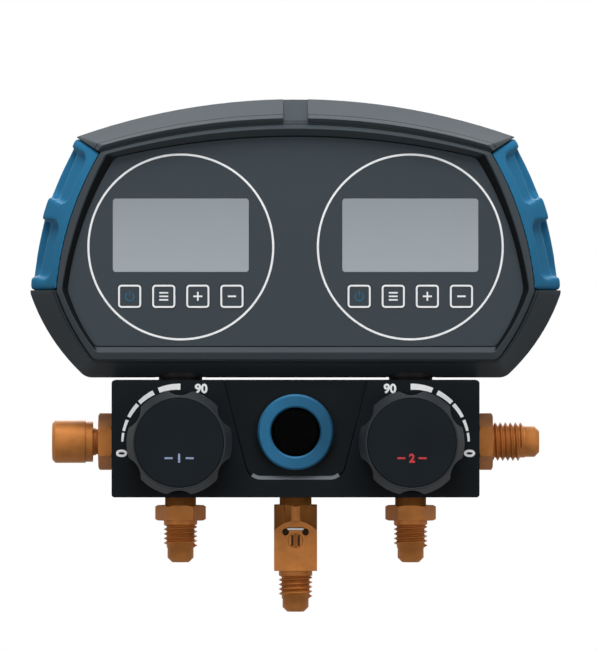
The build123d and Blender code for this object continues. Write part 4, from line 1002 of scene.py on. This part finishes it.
class GAUGE_OT_key_prints(bpy.types.Operator):
    """Print the outline and the symbol on each key"""

    bl_idname = "gauge.key_prints"
    bl_label = "Key prints"

    stroke = 0.55 * MM
    menu_stroke = 0.5 * MM
    menu_pitch = 1.15 * MM
    cross = 2.9 * MM            # length of the menu's and the plus sign's strokes
    dash = 2.7 * MM
    power_ring = (1.15 * MM, 1.55 * MM)
    power_open = (math.radians(125), math.radians(290))     # start and sweep of the power ring
    power_stroke = (0.4 * MM, 1.7 * MM)
    lift = 0.002 * MM           # keeps the plus sign's strokes out of one plane

    def symbol(self, name, x, y, z):
        """Flat drawing of one key's symbol."""
        bm = bmesh.new()
        if name == "power":
            add_arc(bm, x, y, z - 0.1 * MM, *self.power_ring, *self.power_open, 24)
            add_bar(bm, x, y, z + 0.95 * MM, *self.power_stroke)
        elif name == "menu":
            for row in (-1, 0, 1):
                add_bar(bm, x, y, z + row * self.menu_pitch, self.cross, self.menu_stroke)
        elif name == "plus":
            add_bar(bm, x, y, z, self.cross, self.stroke)
            add_bar(bm, x, y - self.lift, z, self.stroke, self.cross)
        else:
            add_bar(bm, x, y, z, self.dash, self.stroke)
        return bm

    def execute(self, context):
        size = context.scene.gauge_sizes
        for hand in HANDS:
            for name in KEYS:
                node = f"key_{hand}_{name}"
                low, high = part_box(node)
                centre = (low + high) / 2
                face = frame["nodes"][node]
                reach = [vert.co.x for vert in face.data.vertices if abs(vert.co.y - low.y) < 0.05 * MM]
                width = max(reach) - min(reach)
                body = face["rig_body"]
                outline = bmesh.new()
                add_frame(
                    outline, centre.x, low.y, centre.z, width - 0.1 * MM, size.key_corner, size.key_line,
                )
                thicken(outline, size.ink)
                piece(f"{node}_outline", outline, white_ink, body)
                symbol = self.symbol(name, centre.x, low.y, centre.z)
                thicken(symbol, size.ink)
                piece(f"{node}_symbol", symbol, power_ink if name == "power" else white_ink, body)
        return {"FINISHED"}


class GAUGE_OT_turn_scales(bpy.types.Operator):
    """Print the widening arc and its figures around each knob"""

    bl_idname = "gauge.turn_scales"
    bl_label = "Turn scales"

    # closed is 0 degrees, open is 90; each mark runs between two of these angles
    marks = ((0.7, 9.4), (11.4, 22.9), (26.2, 41.8), (44.3, 62.3), (67.8, 90.6))
    # places from the knob's axis, outwards and up, and heights of the two figures
    closed_place, closed_height = (18.9 * MM, -3.6 * MM), 3.6 * MM
    open_place, open_height = (-6.9 * MM, 17.4 * MM), 3.2 * MM

    def execute(self, context):
        size = context.scene.gauge_sizes
        for side, way in zip(SIDES, (-1, 1)):
            bm = bmesh.new()
            axis = KNOB[side]
            for first, last in self.marks:
                begin = math.radians(first if way > 0 else 180 - first)
                sweep = math.radians(last - first) * way
                add_arc(
                    bm, axis.x, BLOCK_LOW.y, axis.z, size.scale_radius - size.thin_mark, size.scale_radius,
                    begin, sweep, 8,
                )
            limit = size.scale_radius - size.thin_mark / 2
            for vert in bm.verts:
                arm = Vector((vert.co.x - axis.x, 0, vert.co.z - axis.z))
                if arm.length < limit:
                    opened = math.atan2(arm.z, way * arm.x) / (math.pi / 2)
                    line = size.thin_mark + (size.wide_mark - size.thin_mark) * opened
                    arm *= (size.scale_radius - line) / arm.length
                    vert.co = (axis.x + arm.x, vert.co.y, axis.z + arm.z)
            thicken(bm, size.ink)
            piece(f"{side}_turn_scale", bm, white_ink, "gauge")
            out, up = self.closed_place
            closed = facing(axis.x + way * out, BLOCK_LOW.y, axis.z + up, math.radians(90))
            printed(f"{side}_closed_figure", "0", self.closed_height, closed, white_ink, "gauge")
            out, up = self.open_place
            opened = facing(axis.x + way * out, BLOCK_LOW.y, axis.z + up)
            printed(f"{side}_open_figure", "90", self.open_height, opened, white_ink, "gauge")
        return {"FINISHED"}


class GAUGE_OT_knob_figures(bpy.types.Operator):
    """Print a number and two dashes on each knob"""

    bl_idname = "gauge.knob_figures"
    bl_label = "Knob figures"

    drop = 4.9 * MM             # of the figure and the dashes below the knob's axis
    figure_height = 2.9 * MM
    dash = (2.6 * MM, 0.6 * MM)
    dash_place = 3.4 * MM       # beside the axis

    def execute(self, context):
        size = context.scene.gauge_sizes
        for side, figure, ink in zip(SIDES, "12", (low_ink, high_ink)):
            axis = KNOB[side]
            face = front(f"{side}_knob_cap")
            body = f"{side}_valve"
            height = axis.z - self.drop
            printed(f"{side}_knob_figure", figure, self.figure_height, facing(axis.x, face, height), ink, body)
            dashes = bmesh.new()
            for way in (-1, 1):
                add_bar(dashes, axis.x + way * self.dash_place, face, height, *self.dash)
            thicken(dashes, size.ink)
            piece(f"{side}_knob_dashes", dashes, ink, body)
        return {"FINISHED"}


class GAUGE_OT_stage(bpy.types.Operator):
    """Set the floor, the light and the camera"""

    bl_idname = "gauge.stage"
    bl_label = "Stage"

    target = Vector((0, 0, 0.09))
    # azimuth, elevation, distance, size, share of full light
    lamps = {
        "key_light": (0, 66, 1.3, (1.1, 0.8), 0.56),
        "front_left_light": (-36, -2, 2.2, (0.9, 0.9), 0.255),
        "front_right_light": (36, -2, 2.2, (0.9, 0.9), 0.255),
        "back_light": (180, 28, 1.6, (1.2, 0.8), 0.8),
        "left_light": (-100, 10, 1.6, (0.8, 0.8), 0.06),
        "right_light": (100, 10, 1.6, (0.8, 0.8), 0.06),
    }
    ambient = 0.06
    floor_height = -0.06
    floor_radius = 1.05
    view_distance = 3.0
    view_height = 0.2119                # of what the camera sees at the gauge
    view_centre = (0.00112, 0.0889)     # X and Z

    def softbox(self, name, azimuth, elevation, distance, size, share):
        """Area lamp aimed at the gauge; share is the part of full light it gives an upright face."""
        lamp = bpy.data.lights.new(name, "AREA")
        lamp.shape = "RECTANGLE"
        lamp.size, lamp.size_y = size
        tilt = math.radians(elevation)
        lamp.energy = share * (math.pi * distance) ** 2 / math.cos(tilt)
        turn = math.radians(azimuth)
        aim = Vector((math.sin(turn) * math.cos(tilt), -math.cos(turn) * math.cos(tilt), math.sin(tilt)))
        obj = linked(name, lamp)
        obj.location = self.target + distance * aim
        obj.rotation_euler = aim.to_track_quat("Z", "Y").to_euler()

    def sky(self, ambient):
        """White behind the object and in its reflections, dim for everything else."""
        world = bpy.data.worlds.new("studio")
        world.use_nodes = True
        nodes = world.node_tree.nodes
        link = world.node_tree.links.new
        dim = nodes["Background"]
        dim.inputs["Color"].default_value = (1, 1, 1, 1)
        dim.inputs["Strength"].default_value = ambient
        white = nodes.new("ShaderNodeBackground")
        white.inputs["Color"].default_value = (1, 1, 1, 1)
        white.inputs["Strength"].default_value = 1.0
        rays = nodes.new("ShaderNodeLightPath")
        seen = rays.outputs["Is Camera Ray"]
        for kind in ("Is Glossy Ray", "Is Transmission Ray"):
            seen = math_node(world, "MAXIMUM", seen, rays.outputs[kind])
        mix = nodes.new("ShaderNodeMixShader")
        link(seen, mix.inputs["Fac"])
        link(dim.outputs[0], mix.inputs[1])
        link(white.outputs[0], mix.inputs[2])
        link(mix.outputs[0], nodes["World Output"].inputs["Surface"])
        bpy.context.scene.world = world

    def floor(self, height, radius):
        """Pale disc that turns into the white background towards its rim."""
        bm = bmesh.new()
        bmesh.ops.create_circle(bm, cap_ends=True, segments=96, radius=radius)
        bmesh.ops.translate(bm, verts=bm.verts, vec=(0, 0, height))
        mesh = bpy.data.meshes.new("floor")
        bm.to_mesh(mesh)
        bm.free()
        paper = bpy.data.materials.new("floor_paper")
        paper.use_nodes = True
        nodes = paper.node_tree.nodes
        link = paper.node_tree.links.new
        lit = nodes["Principled BSDF"]
        lit.inputs["Base Color"].default_value = (0.86, 0.86, 0.86, 1)
        lit.inputs["Roughness"].default_value = 0.9
        lit.inputs["Specular IOR Level"].default_value = 0.0
        white = nodes.new("ShaderNodeEmission")
        place = nodes.new("ShaderNodeTexCoord")
        distance = nodes.new("ShaderNodeVectorMath")
        distance.operation = "LENGTH"
        link(place.outputs["Object"], distance.inputs[0])
        rim = ranged(paper, distance.outputs["Value"], 0.25 * radius, 0.95 * radius, 0, 1)
        rim.node.interpolation_type = "SMOOTHSTEP"
        mix = nodes.new("ShaderNodeMixShader")
        link(rim, mix.inputs["Fac"])
        link(lit.outputs[0], mix.inputs[1])
        link(white.outputs[0], mix.inputs[2])
        link(mix.outputs[0], nodes["Material Output"].inputs["Surface"])
        mesh.materials.append(paper)
        obj = linked("floor", mesh)
        obj.visible_diffuse = False
        obj.visible_glossy = False

    def camera(self):
        """Long lens in front of the gauge, level with the display head's lower part."""
        view = bpy.data.cameras.new("camera")
        view.sensor_fit = "VERTICAL"
        view.sensor_height = 24.0
        view.lens = view.sensor_height * self.view_distance / self.view_height
        obj = linked("camera", view)
        across, up = self.view_centre
        obj.location = (across, -self.view_distance, up)
        obj.rotation_euler = (math.radians(90), 0, 0)
        bpy.context.scene.camera = obj

    def execute(self, context):
        self.sky(self.ambient)
        self.floor(self.floor_height, self.floor_radius)
        for name, lamp in self.lamps.items():
            self.softbox(name, *lamp)
        self.camera()
        context.scene.view_settings.view_transform = "Standard"
        return {"FINISHED"}


OPERATORS = (
    GAUGE_OT_stage,
    GAUGE_OT_finishes,
    GAUGE_OT_grips,
    GAUGE_OT_fittings,
    GAUGE_OT_case_screws,
    GAUGE_OT_pocket_edges,
    GAUGE_OT_dial_rings,
    GAUGE_OT_key_prints,
    GAUGE_OT_turn_scales,
    GAUGE_OT_knob_figures,
)


class GAUGE_PT_panel(bpy.types.Panel):
    """Lists the gauge's sizes, colours and operators"""

    bl_idname = "GAUGE_PT_panel"
    bl_label = "Manifold Gauge"
    bl_space_type = "VIEW_3D"
    bl_region_type = "UI"
    bl_category = "Gauge"

    def draw(self, context):
        for group in (context.scene.gauge_sizes, context.scene.gauge_colours):
            box = self.layout.box()
            for name in group.bl_rna.properties.keys():
                if name not in {"rna_type", "name"}:
                    box.prop(group, name)
        for operator in OPERATORS:
            self.layout.operator(operator.bl_idname)


CLASSES = (GaugeSizes, GaugeColours, *OPERATORS, GAUGE_PT_panel)


def register():
    for item in CLASSES:
        bpy.utils.register_class(item)
    bpy.types.Scene.gauge_sizes = bpy.props.PointerProperty(type=GaugeSizes)
    bpy.types.Scene.gauge_colours = bpy.props.PointerProperty(type=GaugeColours)


def unregister():
    del bpy.types.Scene.gauge_colours
    del bpy.types.Scene.gauge_sizes
    for item in reversed(CLASSES):
        bpy.utils.unregister_class(item)


def plain(bounds):
    """A pair of corners as lists of numbers."""
    return [list(map(float, corner)) for corner in bounds]


def main():
    register()
    for operator in OPERATORS:
        group, name = operator.bl_idname.split(".")
        getattr(getattr(bpy.ops, group), name)()


if __name__ == "__main__":
    main()
